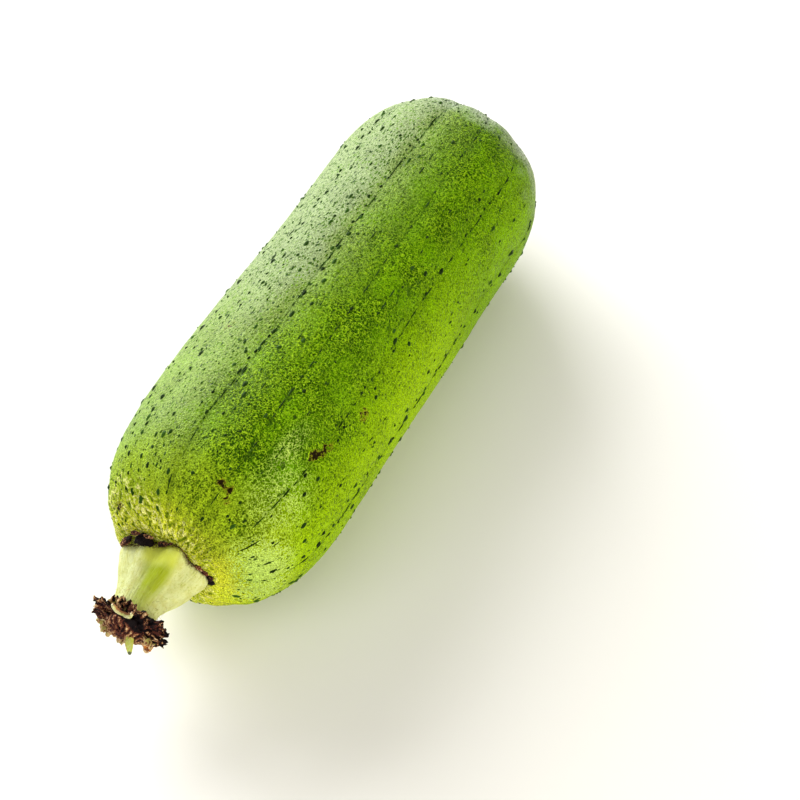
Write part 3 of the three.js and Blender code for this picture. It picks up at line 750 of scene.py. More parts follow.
def fruit_outline():
    """The outline from the blossom pole to the stalk pole: run, x and radius."""
    start = (BLOSSOM_DOME, BLOSSOM_RADIUS)
    end = (FRUIT_LENGTH - STALK_DOME, STALK_RADIUS)
    step = (end[0] - start[0]) / 3
    shoulder = FRUIT_LENGTH - STALK_DOME * (1 - STALK_SHOULDER_PULL)
    parts = [
        [(0, 0), (0, BLOSSOM_POLE_PULL * BLOSSOM_RADIUS), (0, BLOSSOM_RADIUS), start],
        [start, (start[0] + step, BLOSSOM_RADIUS), (end[0] - step, STALK_RADIUS), end],
        [end, (shoulder, STALK_RADIUS), (FRUIT_LENGTH, STALK_POLE_PULL * STALK_RADIUS), (FRUIT_LENGTH, 0)],
    ]
    line = np.vstack([bezier(part, OUTLINE_POINTS)[i > 0 :] for i, part in enumerate(parts)])
    run = np.concatenate([[0], np.cumsum(np.linalg.norm(np.diff(line, axis=0), axis=1))])
    return run, line[:, 0], line[:, 1]


OUTLINE_RUN, OUTLINE_X, OUTLINE_RADIUS = fruit_outline()
OUTLINE_LENGTH = OUTLINE_RUN[-1]
MIDDLE_SLOPE = (STALK_RADIUS - BLOSSOM_RADIUS) / (FRUIT_LENGTH - STALK_DOME - BLOSSOM_DOME)


def plain_radius(run):
    return np.interp(run, OUTLINE_RUN, OUTLINE_RADIUS)


def middle_height(x):
    """The height of the fruit's middle line, which drops a little towards the stalk."""
    return BLOSSOM_RADIUS - FLAT_DEPTH + (x - BLOSSOM_DOME) * MIDDLE_SLOPE


def column_table():
    """The angles of the source's grid of columns and their numbers."""
    near, far = FURROW_SIDE_STEPS
    angles = []
    for i, angle in enumerate(FURROW_ANGLES):
        gap = (FURROW_ANGLES[(i + 1) % len(FURROW_ANGLES)] - angle) % 360
        angles += [angle + step for step in (0, near, far, gap / 2, gap - far, gap - near)]
    turned = np.array(angles + [angles[0] + 360]) - angles[0]
    return turned, np.arange(len(turned))


COLUMN_TURNS, COLUMN_NUMBERS = column_table()


def relief(run, radius, angle):
    """How far the skin stands off its plain outline, the same form as in the part's source."""
    left = OUTLINE_LENGTH - run
    ends = smoothstep(run, *FURROW_FADE_BLOSSOM) * smoothstep(left, *FURROW_FADE_STALK)
    furrows = np.zeros_like(run)
    swell = np.zeros_like(run)
    for i, line in enumerate(FURROW_ANGLES):
        gap = (FURROW_ANGLES[(i + 1) % len(FURROW_ANGLES)] - line) % 360
        turned = turn_between(line, angle)
        furrows += hump(np.radians(turned) * radius, FURROW_WIDTH)
        share = (turned % 360) / gap
        swell = np.where(share < 1, np.sin(np.pi * share) ** 2, swell)
    across = radius * np.cos(np.radians(angle))
    above = radius * np.sin(np.radians(angle))
    from_neck = run + np.hypot(across - NECK_OFFSET[1], above - NECK_OFFSET[2]) - radius
    folding = smoothstep(from_neck, *FOLD_START) * fade(run, *FOLD_END)
    column = np.interp((angle - FURROW_ANGLES[0]) % 360, COLUMN_TURNS, COLUMN_NUMBERS)
    along = run / OUTLINE_LENGTH
    lumps = sum(np.sin(np.radians(n * angle + phase) + rate * along) for n, rate, phase in LUMP_WAVES)
    shoulder = hump(from_neck - SHOULDER_RADIUS, SHOULDER_WIDTH)
    from_stalk = left + np.hypot(across, above + STALK_DROP) - radius
    eased = sum(depth * hump(turn_between(at, angle), width, 4) for at, width, depth in EASED_SIDES)
    return (
        ends * (RIB_SWELL * swell - FURROW_DEPTH * furrows - eased)
        + FOLD_DEPTH * np.cos(np.pi * column) * folding
        + LUMP_HEIGHT * ends * lumps
        + SHOULDER_HEIGHT * shoulder
        - DIMPLE_DEPTH * hump(from_stalk, DIMPLE_RADIUS)
    )


def skin_places(run, angle, extra=0.0):
    """Points of the skin, raised by `extra`."""
    run = np.clip(run, 0, OUTLINE_LENGTH)
    x = np.interp(run, OUTLINE_RUN, OUTLINE_X)
    radius = plain_radius(run)
    step = 0.25
    ahead = np.clip(run + step, 0, OUTLINE_LENGTH)
    behind = np.clip(run - step, 0, OUTLINE_LENGTH)
    tangent_x = np.interp(ahead, OUTLINE_RUN, OUTLINE_X) - np.interp(behind, OUTLINE_RUN, OUTLINE_X)
    tangent_r = plain_radius(ahead) - plain_radius(behind)
    length = np.hypot(tangent_x, tangent_r)
    at_pole = (run <= 0) | (run >= OUTLINE_LENGTH)
    tangent_x = np.where(at_pole, 0.0, tangent_x / length)
    tangent_r = np.where(at_pole, np.where(run <= 0, 1.0, -1.0), tangent_r / length)
    height = relief(run, radius, angle) + extra
    out = np.where(at_pole, 0.0, radius + height * tangent_x)
    turn = np.radians(angle)
    along = BLOSSOM_POLE_X + x - height * tangent_r
    return vectors(along, out * np.cos(turn), middle_height(x) + out * np.sin(turn))


# The neck's and the flower's own axes


def own_axes(direction):
    """Unit vectors along a direction and across it, the last two nearest to +Y and +Z."""
    axis = np.array(direction, float) / np.linalg.norm(direction)
    up = np.array([0, 0, 1.0]) - axis[2] * axis
    up /= np.linalg.norm(up)
    return axis, np.cross(axis, up), up


NECK_AXIS, NECK_SIDE, NECK_UP = own_axes(NECK_DIRECTION)
NECK_BASE = np.array([BLOSSOM_POLE_X, 0, middle_height(0)]) + NECK_OFFSET
FLOWER_AXIS, FLOWER_SIDE, FLOWER_UP = own_axes(NECK_AXIS + FLOWER_TURN * NECK_SIDE)


def spread(base, axes, out, side, up):
    """Points from a base, by their ways along three axes."""
    ways = np.broadcast_arrays(out, side, up)
    return base + sum(way[..., None] * axis for way, axis in zip(ways, axes))


def neck_places(out, bend, radius, angle):
    turn = np.radians(angle)
    axes = (NECK_AXIS, NECK_SIDE, NECK_UP)
    return spread(NECK_BASE, axes, out, bend + radius * np.cos(turn), radius * np.sin(turn))


FLOWER_MIDDLE = neck_places(FLOWER_OUT, FLOWER_BEND, 0.0, 0.0)


def flower_places(out, radius, turn):
    axes = (FLOWER_AXIS, FLOWER_SIDE, FLOWER_UP)
    return spread(FLOWER_MIDDLE, axes, out, radius * np.cos(turn), radius * np.sin(turn))


def neck_profile(out):
    """The core's radius, how much of the lobes is left and the bend, smooth through the stations."""
    stations = np.array(NECK_STATIONS, float)
    place = np.interp(out, stations[:, 0], np.arange(len(stations)))
    i = np.clip(place.astype(int), 0, len(stations) - 2)
    t = (place - i)[..., None]
    before = stations[np.clip(i - 1, 0, None), 1:]
    start = stations[i, 1:]
    end = stations[i + 1, 1:]
    after = stations[np.clip(i + 2, None, len(stations) - 1), 1:]
    bow = 2 * start - 2 * end + (end - before) / 2 + (after - start) / 2
    rise = -3 * start + 3 * end - (end - before) - (after - start) / 2
    smooth = start + t * ((end - before) / 2 + t * (rise + t * bow))
    return smooth[..., 0], smooth[..., 1], smooth[..., 2]


def neck_radius(out, angle):
    core, share, _ = neck_profile(out)
    lobes = sum(h * hump(turn_between(at, angle), width) for at, width, h in NECK_LOBES)
    return core + share * lobes


def beside_neck(places):
    """How far points of the skin are from the neck's side."""
    from_base = places - NECK_BASE
    side, up = from_base @ NECK_SIDE, from_base @ NECK_UP
    out = np.clip(from_base @ NECK_AXIS, NECK_STATIONS[0][0], NECK_STATIONS[-1][0])
    return np.hypot(side, up) - neck_radius(out, np.degrees(np.arctan2(up, side)))


# Meshes


def deselect():
    bpy.ops.object.select_all(action="DESELECT")


def named(name):
    """Names the object that was just added."""
    piece = bpy.context.object
    piece.name = piece.data.name = name
    return piece


def places_of(piece):
    places = np.empty(len(piece.data.vertices) * 3, np.float64)
    piece.data.vertices.foreach_get("co", places)
    return places.reshape(-1, 3)


def move_to(piece, places, wall=0.0):
    """Puts the vertices at places in millimetres, inside the solids' box with room for a wall."""
    lowest, highest = (np.array(corner) / MM for corner in CAD_BOUNDS)
    margin = BOX_MARGIN + wall
    inside = np.clip(places, lowest + (margin, margin, 0), highest - margin)
    piece.data.vertices.foreach_set("co", (inside * MM).ravel())
    piece.data.update()


def paint(piece, name, *values):
    """Keeps one number, or three as a vector, at each vertex for the material to read."""
    kind, key = ("FLOAT", "value") if len(values) == 1 else ("FLOAT_VECTOR", "vector")
    layer = piece.data.attributes.new(name, kind, "POINT")
    layer.data.foreach_set(key, vectors(*values).ravel())


def add_globe(name, columns, rows):
    """Adds a globe to shape, with each vertex's column, and its row from the foot."""
    deselect()
    bpy.ops.mesh.primitive_uv_sphere_add(segments=columns, ring_count=rows, radius=1.0)
    piece = named(name)
    at = places_of(piece)
    row = rows * (1 - np.arccos(np.clip(at[:, 2], -1, 1)) / np.pi)
    column = np.arctan2(at[:, 1], at[:, 0]) / (2 * np.pi) * columns
    return piece, np.rint(column).astype(int) % columns, np.rint(row).astype(int)


def add_sheet(name, across, along):
    """Adds a flat grid to shape, with each vertex's place from -1 to 1 across and 0 to 1 along."""
    deselect()
    bpy.ops.mesh.primitive_grid_add(x_subdivisions=across, y_subdivisions=along, size=2.0)
    piece = named(name)
    at = places_of(piece)
    return piece, at[:, 0], (at[:, 1] + 1) / 2


def give_wall(piece, thickness):
    """Turns a sheet into a closed blade with rounded edges."""
    solidify = piece.modifiers.new("wall", "SOLIDIFY")
    solidify.thickness = thickness * MM
    solidify.offset = 0.0
    bpy.ops.object.modifier_apply(modifier=solidify.name)


def copy_of(piece):
    """A copy with a mesh of its own."""
    copy = piece.copy()
    copy.data = piece.data.copy()
    bpy.context.collection.objects.link(copy)
    return copy


def join(pieces, name):
    """Joins pieces into the first one."""
    deselect()
    for piece in pieces:
        piece.select_set(True)
    bpy.context.view_layer.objects.active = pieces[0]
    if len(pieces) > 1:
        bpy.ops.object.join()
    return named(name)


def hand_over(piece, material, slot, *nodes):
    """Merges doubled vertices, turns the faces outward and shades them smooth. Then the piece gets its
    material and its body, and the solids that it stands for are hidden. The slot is not used."""
    deselect()
    piece.select_set(True)
    bpy.context.view_layer.objects.active = piece
    bpy.ops.object.mode_set(mode="EDIT")
    bpy.ops.mesh.select_all(action="SELECT")
    bpy.ops.mesh.remove_doubles(threshold=MERGE_DISTANCE)
    bpy.ops.mesh.normals_make_consistent(inside=False)
    bpy.ops.object.mode_set(mode="OBJECT")
    bpy.ops.object.shade_smooth()
    piece.data.materials.clear()
    piece.data.materials.append(material)
    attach(piece, "root")
    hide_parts(*nodes)


# Materials

SMOOTH = {"interpolation_type": "SMOOTHSTEP"}
TIMES = {"operation": "MULTIPLY"}
PLUS = {"operation": "ADD"}
MINUS = {"operation": "SUBTRACT"}
MORE = {"operation": "MAXIMUM"}


def add_node(tree, kind, sockets, **settings):
    """Adds a node with its settings. A socket takes a value, an output or a node's first output."""
    node = tree.nodes.new("ShaderNode" + kind)
    for name, value in settings.items():
        setattr(node, name, value)
    for socket, value in sockets.items():
        if isinstance(value, bpy.types.Node):
            value = value.outputs[0]
        if isinstance(value, bpy.types.NodeSocket):
            tree.links.new(value, node.inputs[socket])
        else:
            node.inputs[socket].default_value = value
    return node


def new_material(name):
    """An empty material, what adds its nodes, and the place on the object in metres."""
    material = bpy.data.materials.new(name)
    material.use_nodes = True
    material.node_tree.nodes.clear()
    add = partial(add_node, material.node_tree)
    return material, add, add("TexCoord", {}).outputs["Object"]


def per_metre(size):
    """The scale of a pattern whose lumps have a size in mm."""
    return 1 / (size * MM)


def painted(add, name):
    """What a piece keeps at its vertices: as one vector, then its three numbers."""
    vector = add("Attribute", {}, attribute_name=name).outputs["Vector"]
    return vector, *add("SeparateXYZ", {0: vector}).outputs


def ragged(add, mask, noise, low, high, most=1.0):
    """A mask with an edge that follows a noise."""
    total = add("Math", {0: mask, 1: noise}, **PLUS)
    return add("MapRange", {0: total, 1: low, 2: high, 4: most}, **SMOOTH)


def layered(add, ground, layers):
    """Colours over a ground, each where its mask is."""
    coat = (*ground, 1)
    for mask, colour in layers:
        coat = add("Mix", {0: mask, 6: coat, 7: (*colour, 1)}, data_type="RGBA").outputs[2]
    return coat


def surfaced(material, add, colour, roughness, **sockets):
    """The material with its surface, whose other sockets are named with _ for a space."""
    sockets = {name.replace("_", " "): value for name, value in sockets.items()}
    shader = add("BsdfPrincipled", {"Base Color": colour, "Roughness": roughness, **sockets})
    add("OutputMaterial", {"Surface": shader})
    return material


def skin_material(look):
    """Rind of a young sponge gourd: waxy and finely pebbled, so it gleams in grains and not in one
    clean highlight. The wax lies on the grains, and the pores between them stay dark green. Its pale wax
    and frost are partly painted sheen, and its yellow side is partly painted warm bounce light."""
    material, add, where = new_material("waxy_pebbled_rind")
    _, yellow_and_bounce, wax_and_sheen, blossom = painted(add, "tones")
    # The scar channel also carries the thin dark line and painted shade at the neck's foot
    _, line, scar, blotch = painted(add, "marks")
    _, pale, crinkle, flecked = painted(add, "ends")
    _, grainy, frost_and_sheen, _ = painted(add, "grains")
    ways, _, _, off_line = painted(add, "ways")

    # Worm-like grains 1 mm apart, which lie where the noise crosses its middle, with finer specks on
    # them for painted glints, mottling and broad patches
    long = add("Mapping", {"Vector": where, "Scale": RIND_STRETCH})
    grain = add("TexNoise", {"Vector": where, "Scale": 1 / look.grain_size, "Detail": 1.0})
    from_middle = add("Math", {0: grain, 1: 0.5}, **MINUS)
    off_grain = add("Math", {0: from_middle}, operation="ABSOLUTE")
    dust = add("TexNoise", {"Vector": where, "Scale": per_metre(GLINT_SPECK_SIZE), "Detail": 1.0})
    mottle, broad = (
        add("TexNoise", {"Vector": long, "Scale": per_metre(size), "Detail": 2.0})
        for size in (MOTTLE_SIZE, BROAD_SIZE)
    )
    # Pebbles, and over the skin's own ways, in mm, pores and green specks that are longer along it
    pebbles = add("TexVoronoi", {"Vector": where, "Scale": per_metre(PEBBLE_SIZE)})
    flat = add("Mapping", {"Vector": ways, "Scale": RIND_STRETCH})
    pores, specks = (
        add("TexVoronoi", {"Vector": flat, "Scale": 1 / size}, voronoi_dimensions="2D")
        for size in (PORE_SIZE, SPECK_SIZE)
    )

    leafy = add("MapRange", {0: mottle, 1: 0.38, 2: 0.62, 4: 0.7}, **SMOOTH)
    patchy = add("MapRange", {0: broad, 1: 0.4, 2: 0.62, 4: 0.4}, **SMOOTH)
    lumpy = add("MapRange", {0: mottle, 1: 0.3, 2: 0.6, 3: 0.7}, **SMOOTH)
    cream = add("Math", {0: blossom, 1: lumpy}, **TIMES)
    contrast = add("Math", {0: grainy, 1: look.grain_contrast}, **TIMES)
    worm = add("MapRange", {0: off_grain, 1: 0.05, 2: 0.01}, **SMOOTH)
    gap = add("MapRange", {0: off_grain, 1: 0.06, 2: 0.15}, **SMOOTH)
    bright, dark = (add("Math", {0: mask, 1: contrast}, **TIMES) for mask in (worm, gap))

    # Wax, which is partly painted sheen, lies on the tops of the grains and leaves the pores bare. Each
    # pore has a size of its own.
    pore_size = add("MapRange", {0: pores.outputs["Color"], 1: 0.3, 2: 0.7, 3: -0.04, 4: 0.28})
    beyond_pore = add("Math", {0: pores, 1: pore_size}, **MINUS)
    open_pore = add("MapRange", {0: beyond_pore, 1: 0.0, 2: 0.12, 3: 0.1}, **SMOOTH)
    tops = add("MapRange", {0: off_grain, 1: 0.17, 2: 0.08, 3: 0.65}, **SMOOTH)
    bare = add("Math", {0: open_pore, 1: tops}, **TIMES)
    thick_wax_and_sheen = add("MapRange", {0: wax_and_sheen, 1: 0.72, 2: 1.0, 4: 0.75}, **SMOOTH)
    waxed_and_sheen, bloomed_and_sheen, frosted_and_sheen = (add("Math", {0: mask, 1: bare}, **TIMES) for mask in (wax_and_sheen, thick_wax_and_sheen, frost_and_sheen))
    closed = add("MapRange", {0: open_pore, 1: 1.0, 2: 0.1, 4: 0.9})
    sealed = add("MapRange", {0: mottle, 1: 0.48, 2: 0.64, 3: 1.0, 4: 0.45}, **SMOOTH)
    pits = add("Math", {0: closed, 1: sealed}, **TIMES)
    pitted = add("Math", {0: pits, 1: wax_and_sheen}, **TIMES)

    thin = add("MapRange", {0: off_grain, 1: 0.12, 2: 0.03, 4: 0.6}, **SMOOTH)
    rubbed = ragged(add, pale, thin, 0.6, 1.15)
    ridge = add("MapRange", {0: crinkle, 1: 0.56, 2: 0.8, 4: 0.9}, **SMOOTH)
    valley = add("MapRange", {0: crinkle, 1: 0.45, 2: 0.14, 4: 0.9}, **SMOOTH)
    # Each speck has a size of its own too, at most 1 mm across
    size = add("MapRange", {0: specks.outputs["Color"], 1: 0.4, 2: 0.75, 3: -0.06, 4: 0.14})
    beyond = add("Math", {0: specks, 1: size}, **MINUS)
    spot = add("MapRange", {0: beyond, 1: 0.05, 2: 0.01}, **SMOOTH)
    speck = add("Math", {0: spot, 1: flecked}, **TIMES)

    # Marks have ragged edges that follow the grains
    rough = add("MapRange", {0: grain, 1: 0.3, 2: 0.7, 3: -0.4, 4: 0.4})
    wavering = add("Math", {0: off_line, 1: rough}, **PLUS)
    off = add("Math", {0: wavering}, operation="ABSOLUTE")
    thin_line = add("MapRange", {0: off, 1: 0.32, 2: 0.1, 4: 0.8}, **SMOOTH)
    soft_line = add("MapRange", {0: off, 1: 1.8, 2: 0.3, 4: 0.15}, **SMOOTH)
    either = add("Math", {0: thin_line, 1: soft_line}, **MORE)
    lined = add("Math", {0: either, 1: line}, **TIMES)
    blotched = ragged(add, blotch, rough, 0.2, 0.6, 0.7)
    near_scar = ragged(add, scar, rough, 0.0, 0.35, 0.7)
    scar_reach = add("MapRange", {0: scar, 1: 0.03, 2: 0.2}, **SMOOTH)
    halo = add("Math", {0: near_scar, 1: scar_reach}, **TIMES)
    scarred = ragged(add, scar, rough, 0.3, 0.55)

    layers = [
        (leafy, look.leaf_green),
        (patchy, look.leaf_green),
        (yellow_and_bounce, look.yellow_green_and_bounce),
        (cream, look.blossom_cream),
        (bright, look.light_grain),
        (dark, look.dark_grain),
        (waxed_and_sheen, look.wax_and_sheen),
        (bloomed_and_sheen, look.bloom_and_sheen),
        (frosted_and_sheen, look.frost_and_sheen),
        (pitted, look.dark_grain),
        (rubbed, look.pale_patch),
        (valley, look.crinkle_olive),
        (ridge, look.crinkle_cream),
        (speck, look.line),
        (lined, look.line),
        (blotched, look.blotch),
        (halo, look.halo),
        (scarred, look.scar),
    ]
    coat = layered(add, look.deep_green, layers)
    # Painted glints: the fine specks make the colour brighter and darker
    glint = add("MapRange", {0: dust, 1: 0.3, 2: 0.7, 3: 0.5, 4: 1.5})
    round_top = add("MapRange", {0: pebbles, 1: 0.0, 2: 0.7, 3: 0.5, 4: 0.0}, **SMOOTH)
    worm_top = add("MapRange", {0: off_grain, 1: 0.14, 2: 0.0}, **SMOOTH)
    raised = add("Math", {0: worm_top, 1: grainy}, **TIMES)
    height = add("Math", {0: raised, 1: round_top}, **PLUS)
    return surfaced(
        material,
        add,
        add("HueSaturation", {"Color": coat, "Value": glint}),
        add("MapRange", {0: grain, 1: 0.3, 2: 0.7, 3: 0.58, 4: 0.4}),
        Normal=add("Bump", {"Height": height, "Distance": look.grain_height}),
        IOR=1.45,
        Specular_IOR_Level=add("MapRange", {0: wax_and_sheen, 3: 0.05, 4: 0.24}),
        Specular_Tint=(*look.light_grain, 1),
    )


def wart_material(look):
    """Warts of the rind: hard, dark and smoother than the skin, so each keeps a small highlight."""
    material, add, where = new_material("dark_wart")
    _, darkness, top, _ = painted(add, "own")
    grain = add("TexNoise", {"Vector": where, "Scale": per_metre(WART_GRAIN_SIZE), "Detail": 2.0})
    rough = add("MapRange", {0: grain, 1: 0.3, 2: 0.7, 3: -0.25, 4: 0.25})
    tip = ragged(add, top, rough, 0.0, 0.3)
    black = add("Math", {0: darkness, 1: tip}, **TIMES)
    return surfaced(
        material,
        add,
        layered(add, look.wart_foot, [(tip, look.wart_green), (black, look.wart_black)]),
        0.45,
        Normal=add("Bump", {"Height": grain, "Distance": WART_GRAIN_HEIGHT * MM}),
        IOR=1.45,
        Specular_IOR_Level=0.08,
        Specular_Tint=(*look.light_grain, 1),
    )


def neck_material(look):
    """Flesh of the neck: pale, juicy and finely fibred along its length, matt with a soft glow from light
    under its surface. Painted light brightens the foot of its green valley.
    """
    material, add, where = new_material("pale_fibrous_neck")
    _, green, rim, throat = painted(add, "neck")
    glow = add("Attribute", {}, attribute_name="glow").outputs["Fac"]
    ways, *_ = painted(add, "round")
    fibre = add("TexNoise", {"Vector": ways, "Scale": 1.0, "Detail": 4.0, "Roughness": 0.65})
    cloud = add("TexNoise", {"Vector": where, "Scale": per_metre(CLOUD_SIZE), "Detail": 3.0})
    grain = add("TexNoise", {"Vector": where, "Scale": per_metre(FLECK_SIZE), "Detail": 2.0})
    clouded = add("MapRange", {0: cloud, 1: 0.35, 2: 0.7, 4: 0.6}, **SMOOTH)
    streak = add("MapRange", {0: fibre, 1: 0.35, 2: 0.65, 3: 1.0, 4: 0.88}, **SMOOTH)
    streaked = add("Math", {0: green, 1: streak}, **TIMES)
    thread = add("MapRange", {0: fibre, 1: 0.52, 2: 0.7, 4: 0.3}, **SMOOTH)
    fleck = add("MapRange", {0: grain, 1: 0.58, 2: 0.7, 4: 0.4}, **SMOOTH)
    shine = add("MapRange", {0: grain, 1: 0.44, 2: 0.34, 4: 0.35}, **SMOOTH)
    broken = add("MapRange", {0: grain, 1: 0.38, 2: 0.58}, **SMOOTH)
    rimmed = add("Math", {0: rim, 1: broken}, **TIMES)
    layers = [
        (clouded, look.neck_yellow),
        (thread, look.neck_yellow),
        (shine, look.neck_cream),
        (streaked, look.neck_green),
        (fleck, look.neck_green),
        # Painted light at the foot of the green valley
        (glow, look.neck_painted_light),
        (rimmed, look.scab_brown),
        (throat, look.petal_brown),
    ]
    return surfaced(
        material,
        add,
        layered(add, look.neck_cream, layers),
        0.5,
        Normal=add("Bump", {"Height": fibre, "Distance": FIBRE_RELIEF * MM}),
        IOR=1.42,
        Specular_IOR_Level=0.1,
        Subsurface_Weight=0.06,
        Subsurface_Radius=(1.0, 1.0, 0.3),
        Subsurface_Scale=FLESH_DEPTH * MM,
    )


def crust_material(look, name, size):
    """Dry plant matter, such as a dead petal or cork: crumbly and matt, nearly black in its hollows and
    red-brown on its folds, which is partly its own colour and partly painted shade and light, and tan where
    it is torn or worn."""
    material, add, where = new_material(name)
    _, lit, worn, fresh = painted(add, "own")
    crumbs = add("TexNoise", {"Vector": where, "Scale": per_metre(size), "Detail": 4.0})
    dust = add("TexNoise", {"Vector": where, "Scale": per_metre(CRUMB_DUST_SIZE), "Detail": 2.0})
    rough = add("MapRange", {0: crumbs, 1: 0.35, 2: 0.65, 3: -0.25, 4: 0.25})
    dusty = add("MapRange", {0: dust, 1: 0.35, 2: 0.65, 3: -0.22, 4: 0.22})
    either = add("Math", {0: rough, 1: dusty}, **PLUS)
    layers = [
        (ragged(add, lit, either, 0.3, 0.85), look.petal_brown),
        (ragged(add, worn, either, 0.5, 0.9), look.petal_tan),
        (ragged(add, worn, either, 0.8, 1.15, 0.9), look.petal_straw),
        (ragged(add, fresh, rough, 0.5, 0.8, 0.9), look.petal_green),
        (ragged(add, fresh, rough, -0.4, -0.7, 0.9), look.petal_amber),
    ]
    coat = layered(add, look.petal_black, layers)
    bump = add("Bump", {"Height": crumbs, "Distance": CRUMB_RELIEF * MM})
    return surfaced(material, add, coat, 0.7, Normal=bump, Specular_IOR_Level=0.12)


def calyx_material(look):
    """Calyx lobe: a fleshy green leaf tip that dries to straw, and nearly black at its very point."""
    material, add, where = new_material("fleshy_calyx")
    _, dry, point, pale = painted(add, "own")
    long = add("Mapping", {"Vector": where, "Scale": LOBE_STRETCH})
    veins = add("TexNoise", {"Vector": long, "Scale": per_metre(VEIN_SIZE), "Detail": 3.0})
    streak = add("MapRange", {0: veins, 1: 0.45, 2: 0.62, 4: 0.4}, **SMOOTH)
    straw = add("Math", {0: streak, 1: pale}, **MORE)
    rough = add("MapRange", {0: veins, 1: 0.35, 2: 0.65, 3: -0.3, 4: 0.3})
    layers = [
        (straw, look.calyx_straw),
        (ragged(add, dry, rough, 0.35, 0.7), look.petal_tan),
        (ragged(add, point, rough, 0.35, 0.8, 0.9), look.calyx_tip),
    ]
    bump = add("Bump", {"Height": veins, "Distance": VEIN_RELIEF * MM})
    return surfaced(material, add, layered(add, look.calyx_green, layers), 0.55, Normal=bump)


def hair_material(look):
    """Plant hairs: fine, dry and straw coloured with a dull shine."""
    material, add, where = new_material("dry_plant_hair")
    tint = add("TexNoise", {"Vector": where, "Scale": per_metre(HAIR_TINT_SIZE), "Detail": 2.0})
    mask = add("MapRange", {0: tint, 1: 0.4, 2: 0.6}, **SMOOTH)
    return surfaced(material, add, layered(add, look.hair_olive, [(mask, look.petal_tan)]), 0.6)


def stalk_material(look):
    """Cut stalk: ridged green bark round pale woody pith with darker bundles in it."""
    material, add, where = new_material("cut_stalk")
    pith = add("Attribute", {}, attribute_name="cut").outputs["Fac"]
    long = add("Mapping", {"Vector": where, "Scale": STALK_STRETCH})
    fibres = add("TexNoise", {"Vector": long, "Scale": per_metre(VEIN_SIZE), "Detail": 3.0})
    bundles = add("TexVoronoi", {"Vector": long, "Scale": per_metre(VESSEL_SIZE)})
    streak = add("MapRange", {0: fibres, 1: 0.4, 2: 0.65}, **SMOOTH)
    pore = add("MapRange", {0: bundles, 1: 0.25, 2: 0.12, 4: 0.7}, **SMOOTH)
    vessel = add("Math", {0: pith, 1: pore}, **TIMES)
    layers = [(streak, look.calyx_straw), (pith, look.stalk_pith), (vessel, look.petal_tan)]
    bump = add("Bump", {"Height": fibres, "Distance": VEIN_RELIEF * MM})
    return surfaced(material, add, layered(add, look.stalk_green, layers), 0.75, Normal=bump)


# Pieces


def mark_mask(run, angle, marks):
    """How strongly each of some long oval marks covers points of the skin."""
    radius = plain_radius(run)
    cover = np.zeros_like(run)
    for at, line, half_length, half_width, turn, strength in marks:
        along = run - at
        across = np.radians(turn_between(line, angle)) * radius
        cos, sin = math.cos(math.radians(turn)), math.sin(math.radians(turn))
        long = (along * cos + across * sin) / half_length
        wide = (across * cos - along * sin) / half_width
        cover = np.maximum(cover, strength * hump(np.hypot(long, wide), 1, 3))
    return cover


def line_angle(run, line, aside):
    """The angle of a dark line, which turns aside towards the blossom end."""
    return line + aside * fade(run, *LINE_TURN_RUN)


def line_waver(run, i):
    """How far, in mm, a dark line strays to one side on its way along the fruit."""
    return drifted(0, vectors(run, LINES_APART * i, 0), LINE_WAVER)


def nearest_line(run, radius, angle):
    """How far the nearest of the thin dark lines is, with its side as the sign, and how dark it is."""
    near = np.full_like(run, LINE_REACH)
    dark = np.zeros_like(run)
    for i, (line, darkness, aside) in enumerate(DARK_LINES):
        ways = vectors(run, 0, LINE_BREAKS_FROM + LINE_BREAKS_APART * i)
        whole = smoothstep(perlin(ways, LINE_BREAK_SIZE), *LINE_BREAKS)
        off = np.radians(turn_between(line_angle(run, line, aside), angle)) * radius + line_waver(run, i)
        nearer = np.abs(off) < np.abs(near)
        near = np.where(nearer, off, near)
        dark = np.where(nearer, darkness * between(LINE_WEAKEST, 1, whole), dark)
    return near, dark * fade(np.abs(near), *LINE_EDGE)


def neck_crinkles(run, radius, angle, plain):
    """Crinkles round the neck, drawn out along its spokes: their height from about 0 to 1, how strong
    they are, and the way from the neck's middle."""
    across = radius * np.cos(np.radians(angle)) - NECK_OFFSET[1]
    above = radius * np.sin(np.radians(angle)) - NECK_OFFSET[2]
    from_neck = run + np.hypot(across, above) - radius
    reach = by_angle(angle, CRINKLE_REACH)
    strong = smoothstep(from_neck, *CRINKLE_START)
    strong = strong * fade(from_neck, reach - CRINKLE_FADE, reach + CRINKLE_FADE)
    height = np.full_like(run, 0.5)
    near = strong > 0
    spoke = np.arctan2(above, across)[near]
    stretch = CRINKLE_FINENESS * from_neck[near] ** CRINKLE_STRETCH
    waver = drifted(0, plain[near], CRINKLE_WAVER)
    flat = vectors(stretch * np.cos(spoke) + waver, stretch * np.sin(spoke) - waver, waver)
    ridges = sum(
        share * ridged(flat + step, size, CRINKLE_SHARPNESS) for share, size, step in CRINKLE_LAYERS
    )
    height[near] = np.clip(ridges, 0, 1)
    return height, strong, from_neck


def off_the_ends(run):
    """From 0 at the fruit's ends to 1 between them."""
    return smoothstep(run, *UNEVEN_START) * smoothstep(OUTLINE_LENGTH - run, *UNEVEN_END)


def unevenness(run, plain):
    """Small and middling bumps of the skin at points of its plain form."""
    middling = UNEVEN_HEIGHT * perlin(plain, UNEVEN_SIZE) * off_the_ends(run)
    return GOOSE_HEIGHT * perlin(plain, GOOSE_SIZE) + middling


